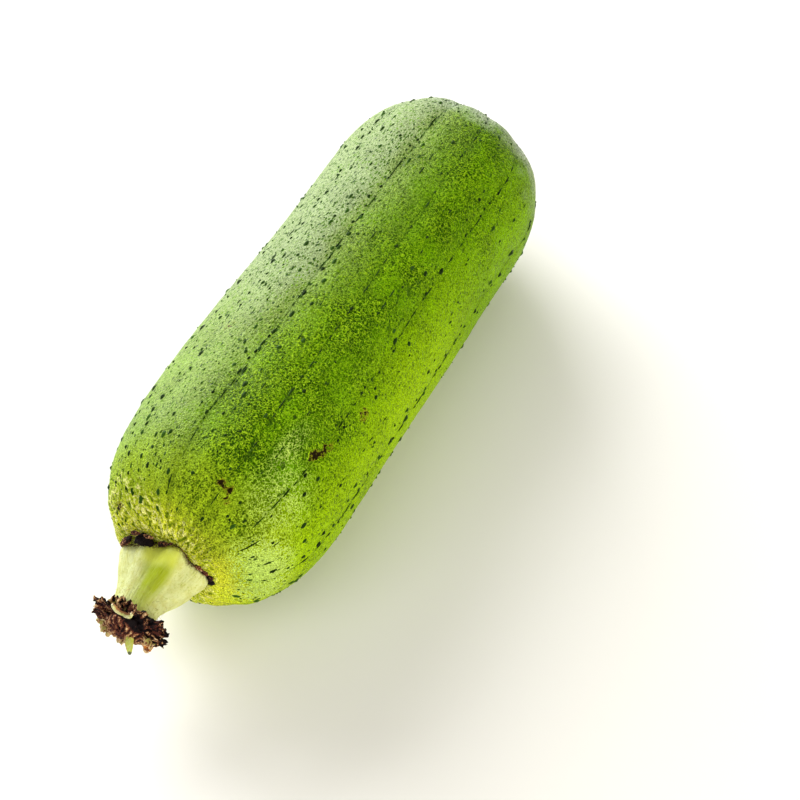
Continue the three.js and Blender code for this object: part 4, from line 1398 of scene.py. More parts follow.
def paint_skin(piece, run, angle, plain, strong, from_neck):
    """Keeps the tones of the skin, and returns how rubbed and how flecked it is. The yellow is partly
    painted warm bounce light, and the wax and the frost are partly painted sheen.
    """
    drift = drifted(angle, plain, *ANGLE_DRIFTS)
    reach = drifted(run, plain, RUN_DRIFT)
    slid = drift - WAX_SLIDE * smoothstep(reach, *WAX_SLIDE_RUN)
    angles, *bands = np.array(ROUND_TONES, float).T
    ways = zip((drift, slid, slid, drift), bands)
    yellow_and_bounce, wax_and_sheen, flecked, grainy = (np.interp(way, angles, band, period=360) for way, band in ways)

    # The yellow, strongest on the right side, is partly painted warm bounce light
    yellow_and_bounce = yellow_and_bounce * (1 - YELLOW_LOSS * smoothstep(reach, *YELLOW_LOSS_RUN))
    yellow_and_bounce = yellow_and_bounce + mark_mask(run, angle, SUNLIT_PATCHES)

    at, half, later = FROST_LATE
    shoulder = drifted(FROST_START + later * hump(turn_between(at, angle), half, 4), plain, FROST_DRIFT)
    # The wax, thickest on the left side, is partly painted sheen
    wax_and_sheen = wax_and_sheen * smoothstep(reach, *WAX_START) * between(1 - WAX_GAIN, 1, smoothstep(reach, *WAX_GAIN_RUN))
    wax_and_sheen = np.maximum(wax_and_sheen, END_WAX * smoothstep(reach, *(shoulder + step for step in END_WAX_SPAN)))
    # The frost is partly a painted reflection, brightest by angle where the far end gleams
    frost_and_sheen = smoothstep(reach, *(shoulder + step for step in FROST_SPAN))
    frost_and_sheen = frost_and_sheen * (1 - FROST_LOSS * smoothstep(reach, *FROST_LOSS_RUN)) * by_angle(angle, FROST_AND_SHEEN)

    pale = mark_mask(run, angle, PALE_PATCHES)
    grainy = grainy * drifted(GRAIN_MEAN, plain, GRAIN_DRIFT) * (1 - GRAIN_LOSS_CRINKLES * strong)
    grainy = grainy * (1 + GRAIN_LOSS * fade(reach, *GRAIN_LOSS_RUN)) * (1 - GRAIN_LOSS_PALE * pale)

    creams = [(from_neck, NECK_CREAM), (reach, END_CREAM)]
    blossom = sum(most * fade(way, start, end) for way, (most, start, end) in creams)
    paint(piece, "tones", yellow_and_bounce, wax_and_sheen, np.clip(blossom, 0, 1))
    paint(piece, "grains", np.clip(grainy, *GRAIN_LIMITS), frost_and_sheen, 0)
    return pale, flecked


def neck_foot(run, angle, places, plain):
    """Dark brown where the neck stands on the skin: a thin line round it, with soft painted shade on one
    side.
    """
    beside = beside_neck(places)
    line, shade = (most * hump(beside, width) for most, width in (FOOT_LINE, FOOT_SHADE))
    at, half = FOOT_SHADE_SIDE
    brown = line + shade * hump(turn_between(at, angle), half, 4)
    return brown * (run < FOOT_RUN) * drifted(FOOT_MEAN, plain, FOOT_DRIFT)


def make_skin(look):
    piece, column, row = add_globe("gourd_rind", SKIN_COLUMNS, SKIN_ROWS)
    run = np.interp(row, *zip(*SKIN_ROW_RUNS)) * OUTLINE_LENGTH / SKIN_ROW_RUNS[-1][1]
    angle = column * 360.0 / SKIN_COLUMNS
    plain = skin_places(run, angle)
    off_line, line = nearest_line(run, plain_radius(run), angle)
    by_neck = NECK_LINES * smoothstep(run, *NECK_LINES_START) * (run < NECK_LINES_END)
    line = line * np.maximum(off_the_ends(run), by_neck)
    scar, blotch, scratch = (mark_mask(run, angle, marks) for marks in (SCARS, BLOTCHES, SCRATCHES))
    crinkle, strong, from_neck = neck_crinkles(run, plain_radius(run), angle, plain)
    extra = (
        unevenness(run, plain)
        - CREASE_DEPTH * line * hump(off_line, CREASE_WIDTH)
        + CRINKLE_HEIGHT * strong * (crinkle - 0.5)
        - SCAR_DEPTH * scar * drifted(SCAR_MEAN, plain, SCAR_LUMPS)
        - SCRATCH_DEPTH * scratch
        - BLOTCH_DEPTH * blotch
    )
    places = skin_places(run, angle, extra)
    move_to(piece, places)
    pale, flecked = paint_skin(piece, run, angle, plain, strong, from_neck)
    # Scars, and the thin dark line and painted shade at the neck's foot
    brown = np.maximum(scar, neck_foot(run, angle, places, plain))
    paint(piece, "marks", line, brown, np.maximum(blotch, scratch))
    paint(piece, "ends", pale, 0.5 + strong * (crinkle - 0.5), flecked)
    paint(piece, "ways", run, np.radians((angle - SEAM_ANGLE) % 360) * BLOSSOM_RADIUS, off_line)
    hand_over(piece, skin_material(look), "skin", "gourd_fruit")


def wart_list():
    """Run, angle, length, width and darkness of every wart."""
    draw = random_draw(WART_SEED)
    warts = [
        (*at, long, PLACED_SLIMNESS * broad, between(*PLACED_DARKNESS, draw()))
        for *at, long, broad in PLACED_WARTS
    ]
    for line in FURROW_ANGLES:
        run = between(*ROW_START, draw())
        while line not in PLACED_FURROWS and run < OUTLINE_LENGTH - ROW_END:
            size = between(*ROW_SIZE, draw() ** 2)
            angle = line + ROW_STRAY * (draw() - 0.5)
            warts.append((run, angle, *(size * side for side in ROW_SHAPE), draw()))
            run += between(*ROW_STEP, draw())
    for i, (line, dark, aside) in enumerate(DARK_LINES):
        run = between(*DASH_START, draw())
        while run < OUTLINE_LENGTH - DASH_END:
            long = between(*DASH_LENGTH, draw() ** 2)
            stray = line_waver(np.array([run]), i)[0] / plain_radius(run)
            angle = line_angle(run, line, aside) - np.degrees(stray)
            probes = run + np.array(DASH_PROBES) * long
            clear = mark_mask(probes, np.full(len(probes), angle), SCARS).max() < DASH_CLEAR
            if draw() < DASH_SHARE * dark * clear:
                width = between(*DASH_WIDTH, draw())
                warts.append((run, angle, long, width, between(*DASH_DARKNESS, draw())))
            run += long + DASH_GAP * draw()
    bare_from, bare_to, left_out = BARE_SIDE
    for _ in range(STRAY_WARTS):
        run = STRAY_START + draw() * (OUTLINE_LENGTH - STRAY_START - STRAY_END)
        angle = draw() * 360
        size = between(*STRAY_SIZE, draw() ** 3)
        long = between(*STRAY_LENGTH, draw())
        if not (bare_from < angle < bare_to and draw() < left_out):
            warts.append((run, angle, size * long, size, STRAY_DARKNESS * draw()))
    return warts


def make_warts(look):
    """Low ragged mounds along the furrows and between them. Each is a copy of one cap with a foot in
    the skin, laid on the skin by its own length and width."""
    deselect()
    bpy.ops.mesh.primitive_uv_sphere_add(segments=WART_SIDES, ring_count=WART_RINGS, radius=1.0)
    cap = named("wart")
    bpy.ops.object.mode_set(mode="EDIT")
    bpy.ops.mesh.select_all(action="SELECT")
    bpy.ops.mesh.bisect(plane_co=(0, 0, WART_CUT), plane_no=(0, 0, 1), use_fill=True, clear_inner=True)
    bpy.ops.object.mode_set(mode="OBJECT")
    at = places_of(cap)
    foot = at[:, 2] < WART_CUT / 2
    share = np.where(foot, 1.0, np.arccos(np.clip(at[:, 2], -1, 1)) / (np.pi / 2))
    way = at[:, :2] / np.maximum(np.hypot(at[:, 0], at[:, 1]), 1e-9)[:, None]
    copies = []
    for i, (run, angle, length, width, darkness) in enumerate(wart_list()):
        around = vectors(*way.T, WARTS_APART * i)
        reach = share * drifted(1, around, WART_EDGE) * WART_SPREAD
        tall = WART_HEIGHT * (1 + width) / 2 * drifted(1, around + TOPS_APART, WART_TOP)
        height = np.where(foot, -WART_ROOT, tall * np.cos(np.pi / 2 * share) ** 2 - WART_SINK)
        runs = run + way[:, 1] * reach * length / 2
        angles = angle + np.degrees(way[:, 0] * reach * width / 2 / plain_radius(run))
        height += unevenness(runs, skin_places(runs, angles))
        places = skin_places(runs, angles, height)
        if places[:, 2].min() < FLAT_MARGIN:
            continue
        wart = copy_of(cap)
        move_to(wart, places)
        paint(wart, "own", darkness, 1 - share, 0)
        copies.append(wart)
    bpy.data.objects.remove(cap)
    hand_over(join(copies, "skin_warts"), wart_material(look), "skin", "gourd_fruit")


def make_scab(look):
    """Corky crust in the crease round the foot of the neck: clumps, and crumbs between them."""
    draw = random_draw(SCAB_SEED)
    clumps = list(SCAB_CLUMPS)
    for start, end, size in SCAB_CRUMBS:
        for angle in np.arange(start, end, 180 * size / (math.pi * CREASE_RADIUS)):
            grown = size * between(*CRUMB_SIZE, draw())
            gap = draw() * CRUMB_GAP
            clumps.append((angle, gap, *(grown * side for side in CRUMB_SHAPE), draw(), CRUMB_WORN * draw()))
    pieces = []
    for i, (angle, gap, length, depth, height, lit, worn) in enumerate(clumps):
        deselect()
        bpy.ops.mesh.primitive_ico_sphere_add(subdivisions=5 if length > SCAB_LARGE else 3, radius=1.0)
        clump = named("clump")
        at = places_of(clump)
        seed = at + SCAB_APART * i
        folds = ridged(seed, SCAB_FOLDS[1], 2)
        grit = perlin(seed, SCAB_GRIT[1])
        grown = drifted(SCAB_BODY, seed, SCAB_LUMPS) + SCAB_FOLDS[0] * (folds - 0.5) + SCAB_GRIT[0] * grit
        x, y, z = (at * grown[:, None]).T
        around = angle + np.degrees(x * length / 2 / CREASE_RADIUS)
        rim = neck_radius(np.zeros_like(x), around)
        move_to(clump, neck_places(SCAB_LEVEL + z * height / 2, 0.0, rim + gap + y * depth / 2, around))
        signs = vectors(1, folds, grit)
        paint(clump, "own", lit + signs @ SCAB_LIGHT, worn + signs @ SCAB_WORN, 0)
        pieces.append(clump)
    piece = join(pieces, "corky_scab")
    hand_over(piece, crust_material(look, "corky_scab", SCAB_CRUMB_SIZE), "dried_flower", "gourd_fruit")


def make_neck(look):
    piece, column, row = add_globe("fluted_neck", NECK_COLUMNS, NECK_ROWS)
    angle = column * 360.0 / NECK_COLUMNS
    turn = np.radians(angle)
    first, last = NECK_STATIONS[0][0], NECK_STATIONS[-1][0]
    caps = NECK_CAP_ROWS[-1]
    out = between(first, last, np.clip((row - caps) / (NECK_ROWS - 2 * caps), 0, 1))
    cap = np.interp(np.minimum(row, NECK_ROWS - row), NECK_CAP_ROWS, NECK_CAP_SHARES)
    ring = vectors(FIBRES_AROUND * np.cos(turn), FIBRES_AROUND * np.sin(turn), out / FIBRE_STRETCH)
    fibre = perlin(ring, 1.0) + drifted(0, ring + FIBRES_APART, FINE_FIBRES)
    _, _, bend = neck_profile(out)
    radius = (neck_radius(out, angle) + FIBRE_HEIGHT * fibre) * cap
    move_to(piece, neck_places(out, bend, radius, angle))

    waver = drifted(0, ring, VALLEY_WAVER)
    slant = np.clip(out, 0, VALLEY_SLANT_OUT) * VALLEY_SLANT
    off = turn_between(VALLEY_ANGLE + slant, angle) + waver
    # Painted light at the foot of the green valley, where the scab and the hollow shade it
    glow = VALLEY_PAINTED_LIGHT * hump(off + VALLEY_PAINTED_LIGHT_TURN, VALLEY_WIDTH, 4) * fade(out, *VALLEY_PAINTED_LIGHT_OUT)
    green = hump(off, VALLEY_WIDTH, 4) * np.interp(out, *zip(*NECK_GREEN))
    most, at, half = LOWER_VALLEY
    green = np.maximum(green, most * hump(turn_between(at, angle) + waver, half))
    rim = fade(out + RIM_RAGGED * fibre, *RIM_OUT) * by_angle(angle, RIM_BROWN)
    throat = smoothstep(out + THROAT_RAGGED * fibre, *THROAT_OUT)
    paint(piece, "neck", green, rim, throat)
    paint(piece, "glow", glow)
    paint(piece, "round", STREAKS_AROUND * np.cos(turn), STREAKS_AROUND * np.sin(turn), out / STREAK_STRETCH)
    hand_over(piece, neck_material(look), "neck", "blossom_neck")


def make_hairs(look):
    """Fine curved hairs on the neck, thickest round its throat, drawn coarser than real ones so that
    they show."""
    hair, column, row = add_globe("hair", HAIR_SIDES, HAIR_ROWS)
    along = row / HAIR_ROWS
    thick = HAIR_THICKNESS / 2 * (1 - HAIR_TAPER * along) * (row % HAIR_ROWS > 0)
    turn = 2 * np.pi * column / HAIR_SIDES
    draw = random_draw(HAIR_SEED)
    hairs = []
    for _ in range(HAIR_COUNT):
        out = between(*reversed(HAIR_REACH), draw() ** HAIR_CROWDING)
        angle = 360 * draw()
        core, _, bend = (float(value) for value in neck_profile(np.array(out)))
        side = float(neck_radius(np.array(out), angle))
        steps = ((0, -HAIR_ROOT, 0), (0, 1, 0), (1, 0, 0), (0, 0, 60 / core))
        root, lifted, onward, beside = (
            neck_places(out + step, bend, side + rise, angle + swing) for step, rise, swing in steps
        )
        outward, onward, beside = lifted - root, onward - root, beside - root
        way = outward + between(*HAIR_ONWARD, draw()) * onward + HAIR_SIDEWAYS * (draw() - 0.5) * beside
        length = between(*HAIR_LENGTH, draw())
        way *= length / np.linalg.norm(way)
        droop = (draw() - 0.5) * HAIR_SWAY * beside - HAIR_DROOP * length * outward
        straight = way / length
        one = np.cross(straight, (0, 0, 1.0))
        two = np.cross(straight, one)
        offset = vectors(*(thick * (c * np.cos(turn) + s * np.sin(turn)) for c, s in zip(one, two)))
        path = root + along[:, None] * way + (along**2)[:, None] * droop
        copy = copy_of(hair)
        move_to(copy, path + offset)
        hairs.append(copy)
    bpy.data.objects.remove(hair)
    hand_over(join(hairs, "neck_hairs"), hair_material(look), "neck", "blossom_neck")


def make_petal(turn, out, tilt, curl, length, width, lit, worn, fresh, phase):
    """A dried petal: narrow at its root, pleated along its length and crumpled towards its tip."""
    piece, across, along = add_sheet("petal", *PETAL_GRID)
    turn = math.radians(turn)
    lean = tilt + curl * along
    half = width / 2 * between(PETAL_SLIM, 1, np.sin(np.pi * between(*PETAL_SPREAD, along)))
    tears, depth = TEARS
    torn = depth * perlin(vectors(tears * across + phase, 0, phase), TEAR_SIZE)
    flat, corner = TIP_CORNERS
    reach = length * along * (1 + torn * along - (flat + corner * along) * across**2)
    pleats = np.sin(PLEATS * min(1, width / PLEATED_WIDTH) * across + PLEAT_DRIFT * along + phase)
    wave = PETAL_WAVE * along * np.sin(PETAL_WAVES_ACROSS * across + PETAL_WAVES_ALONG * along + phase)
    radius = PETAL_ROOT + reach * np.cos(lean)
    angle = turn - across * half / np.maximum(radius, PETAL_ROOT + 2)
    rise = reach * np.sin(lean) + wave + PLEAT_HEIGHT * pleats * np.sqrt(along)
    places = flower_places(out + rise, radius, angle)

    shift = places + phase * PETALS_APART
    folds = [ridged(shift + step, CRUMPLE_SIZE, FOLD_SHARPNESS) for step in CRUMPLE_STEPS]
    share, finer, step = FINE_CRUMPLE
    fine = ridged(shift + step, CRUMPLE_SIZE / finer, FOLD_SHARPNESS)
    crumple = CRUMPLE_HEIGHT * (vectors(*folds) - 0.4)
    crumple += share * CRUMPLE_HEIGHT * (fine - 0.4)[:, None] * FLOWER_AXIS
    places = places + crumple * between(ROOT_CRUMPLE, 1, along)[:, None]
    move_to(piece, places, PETAL_THICKNESS)

    edge = smoothstep(np.maximum(np.abs(across), along), *WORN_EDGE)
    # Painted shade where the petal reaches into the gap behind the core
    deep = GAP_RADIUS + GAP_EXTRA * hump(turn_between(GAP_TURN, np.degrees(angle)), GAP_SPREAD)
    gap_shade = fade(radius, *(deep + step for step in GAP_SOFTNESS))
    wide, long = THREADS
    threads = perlin(vectors(wide * width * across + phase, long * along, 0), THREAD_SIZE)
    signs = vectors(1, pleats, threads, fine, folds[1], perlin(shift, PATCH_SIZE), edge, gap_shade)
    paint(piece, "own", lit + signs @ PETAL_LIGHT, worn + signs @ PETAL_WORN, fresh * (1 - gap_shade))
    give_wall(piece, PETAL_THICKNESS)
    return piece


def make_flower(look):
    """The petals and shreds round a crumpled core, with painted shade in the gap behind it."""
    draw = random_draw(PETAL_SEED)
    petals = [make_petal(*shape, draw() * 2 * math.pi) for shape in (*PETALS, *SHREDS)]
    core, column, row = add_globe("core", *CORE_GRID)
    fall = math.pi * (1 - row / CORE_GRID[1])
    turn = 2 * math.pi * column / CORE_GRID[0]
    reach = np.sin(fall)
    deep, narrow, tall = FLOWER_CORE
    lumpy = 1 + CORE_LUMP_SHARE * np.sin(CORE_LUMPS * turn + fall * CORE_LUMP_WAVES / math.pi) * reach
    out = -deep * np.cos(fall)
    places = flower_places(out, lumpy * reach * between(narrow, tall, np.sin(turn) ** 2), turn)
    height, size = CORE_FOLDS
    folds = ridged(places, size, FOLD_SHARPNESS)
    pleats = np.sin(drifted(CORE_PLEATS * turn + CORE_PLEAT_DRIFT * reach, places, CORE_PLEAT_WAVER))
    pleats = pleats * smoothstep(reach, *CORE_PLEAT_START)
    move_to(core, places + (height * (folds - 0.4) + CORE_PLEAT_HEIGHT * pleats)[:, None] * FLOWER_AXIS)
    # The core is painted dark behind its front, as painted shade in the gap
    gap = by_angle(np.degrees(turn), GAP_OUT)
    front = smoothstep(out, *(gap + step for step in GAP_EDGE))
    signs = vectors(1, front, folds, pleats, perlin(places, PATCH_SIZE))
    paint(core, "own", signs @ CORE_LIGHT, signs @ CORE_WORN, 0)
    piece = join([core, *petals], "dried_petals")
    material = crust_material(look, "withered_petal", PETAL_CRUMB_SIZE)
    hand_over(piece, material, "dried_flower", "withered_flower")


def make_hanging_lobe(look):
    """The slim pointed lobe that stands out past the flower."""
    columns, rows = SEPAL_GRID
    piece, column, row = add_globe("hanging_lobe", columns, rows)
    axis = NECK_AXIS - SEPAL_LEAN * NECK_SIDE
    axis /= np.linalg.norm(axis)
    broad = np.array([0, 1.0, 0]) - axis[1] * axis
    broad /= np.linalg.norm(broad)
    thin = np.cross(axis, broad)
    along = row / rows
    turn = 2 * np.pi * column / columns
    full = np.interp(along, *zip(*SEPAL_TAPER))
    high, count = SEPAL_RIBS
    low, fine_count, twist = SEPAL_FINE_RIBS
    ridge = 1 + high * np.cos(count * turn) + low * np.sin(fine_count * turn + twist * along)
    side = SEPAL_SIDE + full * (SEPAL_WIDTH / 2) * np.cos(turn) * ridge
    up = full * (SEPAL_THICKNESS / 2) * np.sin(turn) * ridge
    places = spread(FLOWER_MIDDLE, (axis, broad, thin), SEPAL_OUT + SEPAL_LENGTH * along, side, up)
    move_to(piece, places + (full * drifted(0, places, SEPAL_LUMPS))[:, None] * thin)
    most, start, end = SEPAL_DRY_ROOT
    (right, right_from), (left, left_from) = SEPAL_DRY_EDGES
    edges = right * (np.cos(turn) > right_from) + left * (np.cos(turn) < left_from)
    paint(piece, "own", most * fade(along, start, end) + edges, smoothstep(along, *SEPAL_POINT), 0)
    hand_over(piece, calyx_material(look), "calyx", "hanging_calyx_lobe")


def make_curled_lobe(look):
    """The short lobe in front of the upper petals, curled into a trough that is open upwards."""
    piece, across, along = add_sheet("curled_lobe", *CURL_GRID)
    bent = across * math.radians(CURL_BEND)
    breadth = CURL_BREADTH * np.cos(CURL_TAPER * across)
    side = CURL_BOW * np.sin(bent)
    up = CURL_MIDDLE - CURL_BOW * np.cos(bent)
    turn = math.radians(CURL_ANGLE) - np.arctan2(side, up)
    places = flower_places(CURL_OUT + (along - 0.5) * breadth, np.hypot(side, up), turn)
    move_to(piece, places + drifted(0, places, CURL_LUMPS)[:, None] * FLOWER_AXIS)
    dry = between(*CURL_DRY, fade(along, *CURL_INSIDE))
    burnt = between(*CURL_BURNT, smoothstep(np.abs(across), *CURL_ENDS))
    pale = between(*CURL_PALE, smoothstep(perlin(places, CURL_STREAK_SIZE), *CURL_STREAKS))
    paint(piece, "own", dry, burnt, pale)
    give_wall(piece, CURL_THICKNESS)
    hand_over(piece, calyx_material(look), "calyx", "curled_calyx_lobe")


def make_stalk(look):
    """The cut stalk: a ribbed stub on a swollen foot, with a dished dry cut."""
    foot = BLOSSOM_POLE_X + FRUIT_LENGTH
    height = middle_height(FRUIT_LENGTH) - STALK_DROP
    slim, broad = STALK_STUB_RADIUS, STALK_FOOT_RADIUS
    swelling = [(way * STALK_FOOT_RISE, between(slim, broad, share)) for way, share in STALK_SWELLING]
    end = [(STALK_LENGTH - STALK_BEVEL, slim), (STALK_LENGTH, slim - STALK_BEVEL)]
    ways, radii = zip((-STALK_ROOT, slim), *swelling, *end)
    rows, faces = STALK_ROWS, STALK_FACE_ROWS
    piece, column, row = add_globe("cut_stalk_end", STALK_COLUMNS, rows)
    turn = 2 * np.pi * column / STALK_COLUMNS
    place = np.interp(row, [faces, rows - faces], [0, len(ways) - 1])
    x, radius = (np.interp(place, range(len(ways)), values) for values in (ways, radii))
    face_share = np.clip(np.minimum(row, rows - row) / faces, 0, 1)
    ring = vectors(BARK_AROUND * np.cos(turn), BARK_AROUND * np.sin(turn), x / BARK_STRETCH)
    bark = drifted(STALK_RIB_HEIGHT * np.cos(STALK_RIBS * turn), ring, BARK_LUMPS)
    reach = (radius + bark) * face_share
    side, up = reach * np.cos(turn), reach * np.sin(turn)
    cut = (row > rows - faces).astype(float)
    x = x - cut * CUT_DEPTH * (0.5 + perlin(vectors(side, up, 0), CUT_LUMP_SIZE)) * (1 - face_share**4)
    move_to(piece, vectors(foot + x, side, height + up))
    paint(piece, "cut", cut * fade(face_share, *CUT_EDGE))
    hand_over(piece, stalk_material(look), "stalk", "stalk_stub")


# Stage and camera


def make_floor(stage):
    deselect()
    bpy.ops.mesh.primitive_plane_add(size=FLOOR_SIZE, location=(0, 0, 0))
    floor = named("studio_floor")
    bpy.ops.object.transform_apply(location=True, rotation=True, scale=True)
    material, add, _ = new_material("matt_white_board")
    surfaced(material, add, (*stage.floor_colour, 1), 0.9, Specular_IOR_Level=0.1)
    floor.data.materials.append(material)


def add_softbox(name, direction, distance, size, power, colour):
    """A square soft light that faces the fruit's middle."""
    middle = Vector(VIEW_MIDDLE) * MM
    back = Vector(direction).normalized()
    bpy.ops.object.light_add(type="AREA", location=middle + back * distance)
    lamp = named(name)
    lamp.rotation_mode = "QUATERNION"
    lamp.rotation_quaternion = (-back).to_track_quat("-Z", "Y")
    lamp.data.shape = "SQUARE"
    lamp.data.size = size
    lamp.data.energy = power
    lamp.data.color = colour


def make_lights(stage):
    for name, direction, distance, size, power, colour in SOFTBOXES:
        add_softbox(name, direction, distance, size, getattr(stage, power), linear(colour))
    world = bpy.data.worlds.new("studio")
    world.use_nodes = True
    back = world.node_tree.nodes["Background"]
    back.inputs["Color"].default_value = (1, 1, 1, 1)
    back.inputs["Strength"].default_value = stage.sky_strength
    bpy.context.scene.world = world
    bpy.context.scene.view_settings.view_transform = "Standard"


def make_camera(stage):
    """Looks down on the fruit along the photo's line of sight, with its sideways tilt."""
    right = Vector((math.cos(VIEW_TURN), -math.sin(VIEW_TURN), 0))
    ahead = Vector((math.sin(VIEW_TURN), math.cos(VIEW_TURN), 0))
    up = math.sin(VIEW_HEIGHT) * ahead + math.cos(VIEW_HEIGHT) * Vector((0, 0, 1))
    back = right.cross(up)
    middle = Vector(VIEW_MIDDLE)
    place = middle + back * VIEW_DISTANCE
    look = (middle + right * AIM_RIGHT + up * AIM_UP - place).normalized()
    swing = (-back).rotation_difference(look).to_matrix()
    turn = swing @ Matrix((right, up, back)).transposed()
    bpy.ops.object.camera_add(location=place * MM)
    camera = named("studio_camera")
    camera.matrix_world = Matrix.Translation(place * MM) @ turn.to_4x4()
    camera.data.lens = stage.focal_length
    camera.data.sensor_width = SENSOR_WIDTH
    camera.data.clip_start, camera.data.clip_end = CAMERA_REACH
    bpy.context.scene.camera = camera


# Settings, operators and panel


def colour_setting(name, description, colour):
    return FloatVectorProperty(
        name=name, description=description, subtype="COLOR", size=3, min=0, max=1, default=linear(colour)
    )


def number_setting(name, description, default, unit="NONE"):
    return FloatProperty(name=name, description=description, default=default, unit=unit)


class RindSettings(bpy.types.PropertyGroup):
    """Colours and grain of the fruit's skin and warts."""

    deep_green: colour_setting("Deep green", "The skin where it is darkest", "#547e04")
    leaf_green: colour_setting("Leaf green", "The mottling in the dark skin", "#6ea204")
    yellow_green_and_bounce: colour_setting("Yellow green", "The skin of the belly side", "#98be00")
    blossom_cream: colour_setting("Blossom cream", "The skin round the neck", "#ccd034")
    wax_and_sheen: colour_setting("Wax", "The thin wax on the back", "#8a9e56")
    bloom_and_sheen: colour_setting("Bloom", "The thickest wax, nearly grey", "#94a47c")
    pale_patch: colour_setting("Pale patch", "Rubbed patches", "#acc85c")
    crinkle_cream: colour_setting("Crinkle cream", "Ridges of the crinkles", "#e0e088")
    crinkle_olive: colour_setting("Crinkle olive", "Valleys of the crinkles", "#5a740c")
    light_grain: colour_setting("Light grain", "The light grains in the skin", "#98bc1c")
    dark_grain: colour_setting("Dark grain", "The dark grains and specks", "#2e5202")
    line: colour_setting("Line", "The thin line in each furrow", "#24440a")
    blotch: colour_setting("Blotch", "Dark blotches and scratches", "#284a0c")
    frost_and_sheen: colour_setting("Frost", "The wax on the stalk end, which is the palest", "#bccaae")
    scar: colour_setting("Scar", "Healed brown scars", "#241a0c")
    halo: colour_setting("Halo", "The skin round a scar", "#80741c")
    wart_foot: colour_setting("Wart foot", "The rim of a wart", "#5a7c20")
    wart_green: colour_setting("Wart green", "The palest warts", "#34561a")
    wart_black: colour_setting("Wart black", "The darkest warts", "#16260c")
    grain_contrast: number_setting("Grain contrast", "How strong the grains' colours are", 0.95)
    grain_size: number_setting("Grain size", "Size of the skin's grains", 1.0 * MM, "LENGTH")
    grain_height: number_setting("Grain height", "Height of the skin's grains", 0.4 * MM, "LENGTH")


class EndSettings(bpy.types.PropertyGroup):
    """Colours of the neck, the flower, the scab, the calyx and the stalk."""

    neck_cream: colour_setting("Neck cream", "The pale flesh of the neck", "#e0e6a4")
    neck_yellow: colour_setting("Neck yellow", "Yellow fibres in the neck", "#c8c868")
    neck_green: colour_setting("Neck green", "The valleys between the neck's lobes", "#a2b200")
    neck_painted_light: colour_setting("Neck glow", "The bright top of the neck's valley", "#e2ea50")
    scab_brown: colour_setting("Scab brown", "Corky edge of the neck's foot", "#5a3a1c")
    petal_black: colour_setting("Petal black", "Hollows of the dried petals", "#0e0508")
    petal_brown: colour_setting("Petal brown", "Dried petals", "#5a2c22")
    petal_tan: colour_setting("Petal tan", "Worn folds of the dried petals", "#ae7c50")
    petal_straw: colour_setting("Petal straw", "Bleached edges of the dried petals", "#dcc096")
    petal_green: colour_setting("Petal green", "Petals that are not quite dead", "#a09c4c")
    petal_amber: colour_setting("Petal amber", "Petals that were the last to dry", "#c47830")
    calyx_green: colour_setting("Calyx green", "The calyx lobes", "#c2cc50")
    calyx_straw: colour_setting("Calyx straw", "Dry streaks in the calyx", "#dedca2")
    calyx_tip: colour_setting("Calyx tip", "The point of the hanging lobe", "#3a4a30")
    hair_olive: colour_setting("Hair olive", "The neck's hairs", "#7c8034")
    stalk_green: colour_setting("Stalk green", "Bark of the stalk", "#6c8030")
    stalk_pith: colour_setting("Stalk pith", "The stalk's cut face", "#c6c290")


class StageSettings(bpy.types.PropertyGroup):
    """Floor, lights and camera."""

    floor_colour: colour_setting("Floor", "The board under the gourd", "#f4f3f0")
    key_power: number_setting("Key", "Power of the key light", 36, "POWER")
    fill_power: number_setting("Fill", "Power of the fill light", 14, "POWER")
    top_power: number_setting("Top", "Power of the top light", 6, "POWER")
    sky_strength: number_setting("Sky", "Strength of the soft surroundings", 0.25)
    focal_length: number_setting("Focal length", "The camera's focal length", 120, "CAMERA")


class Builder:
    """What each operator does: its makers build their pieces from its group of settings."""

    settings = "gourd_ends"

    def execute(self, context):
        for make in self.makers:
            make(getattr(context.scene, self.settings))
        return {"FINISHED"}


class GOURD_OT_rind(Builder, bpy.types.Operator):
    """Build the fruit's pebbled skin"""

    bl_idname = "gourd.rind"
    bl_label = "Rind"
    settings = "gourd_rind"
    makers = (make_skin,)


class GOURD_OT_warts(Builder, bpy.types.Operator):
    """Build the warts in rows along the furrows and between them"""

    bl_idname = "gourd.warts"
    bl_label = "Warts"
    settings = "gourd_rind"
    makers = (make_warts,)


class GOURD_OT_neck(Builder, bpy.types.Operator):
    """Build the fluted neck, the corky scab round its foot and its hairs"""

    bl_idname = "gourd.neck"
    bl_label = "Neck and Scab"
    makers = (make_neck, make_scab, make_hairs)


class GOURD_OT_flower(Builder, bpy.types.Operator):
    """Build the withered flower"""

    bl_idname = "gourd.flower"
    bl_label = "Withered Flower"
    makers = (make_flower,)


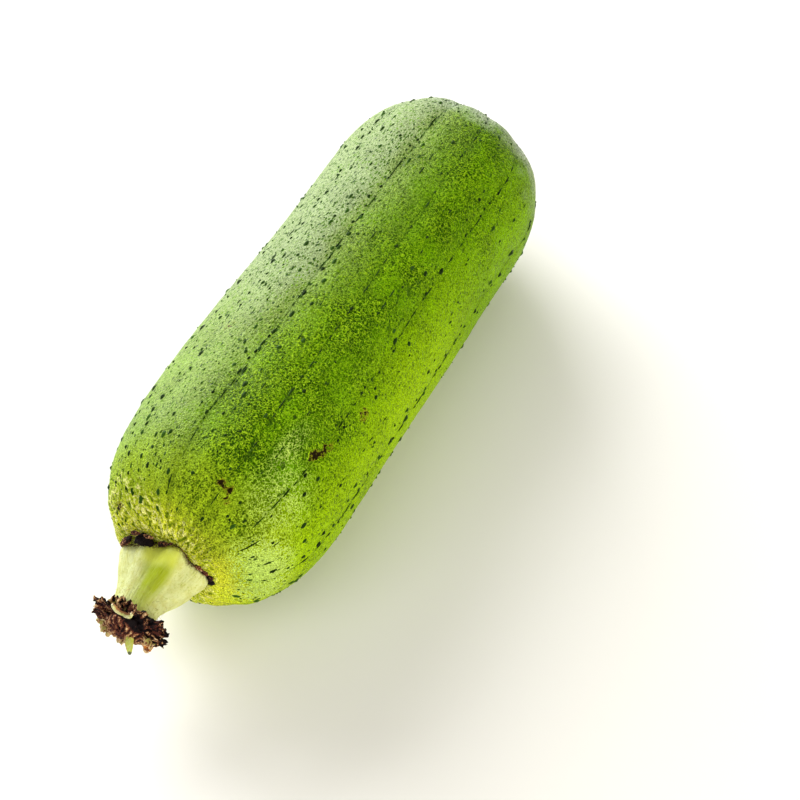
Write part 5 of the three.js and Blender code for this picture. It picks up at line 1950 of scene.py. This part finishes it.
class GOURD_OT_calyx(Builder, bpy.types.Operator):
    """Build the two calyx lobes"""

    bl_idname = "gourd.calyx"
    bl_label = "Calyx Lobes"
    makers = (make_hanging_lobe, make_curled_lobe)


class GOURD_OT_stalk(Builder, bpy.types.Operator):
    """Build the cut stalk"""

    bl_idname = "gourd.stalk"
    bl_label = "Cut Stalk"
    makers = (make_stalk,)


class GOURD_OT_stage(Builder, bpy.types.Operator):
    """Set up the floor, the lights and the camera"""

    bl_idname = "gourd.stage"
    bl_label = "Stage"
    settings = "gourd_stage"
    makers = (make_floor, make_lights, make_camera)


OPERATORS = (
    GOURD_OT_rind,
    GOURD_OT_warts,
    GOURD_OT_neck,
    GOURD_OT_flower,
    GOURD_OT_calyx,
    GOURD_OT_stalk,
    GOURD_OT_stage,
)


class GOURD_PT_pieces(bpy.types.Panel):
    """Lists the pieces to build and their settings"""

    bl_idname = "GOURD_PT_pieces"
    bl_label = "Sponge Gourd"
    bl_space_type = "VIEW_3D"
    bl_region_type = "UI"
    bl_category = "Gourd"

    def draw(self, context):
        for operator in OPERATORS:
            self.layout.operator(operator.bl_idname)
        for name in SETTINGS:
            settings = getattr(context.scene, name)
            box = self.layout.box()
            for key in settings.__annotations__:
                box.prop(settings, key)


SETTINGS = {"gourd_rind": RindSettings, "gourd_ends": EndSettings, "gourd_stage": StageSettings}
CLASSES = (*SETTINGS.values(), *OPERATORS, GOURD_PT_pieces)


def register():
    for made in CLASSES:
        bpy.utils.register_class(made)
    for name, group in SETTINGS.items():
        setattr(bpy.types.Scene, name, PointerProperty(type=group))


def unregister():
    for name in SETTINGS:
        delattr(bpy.types.Scene, name)
    for made in reversed(CLASSES):
        bpy.utils.unregister_class(made)


def main():
    register()
    bpy.ops.gourd.rind()
    bpy.ops.gourd.warts()
    bpy.ops.gourd.neck()
    bpy.ops.gourd.flower()
    bpy.ops.gourd.calyx()
    bpy.ops.gourd.stalk()
    bpy.ops.gourd.stage()


if __name__ == "__main__":
    main()
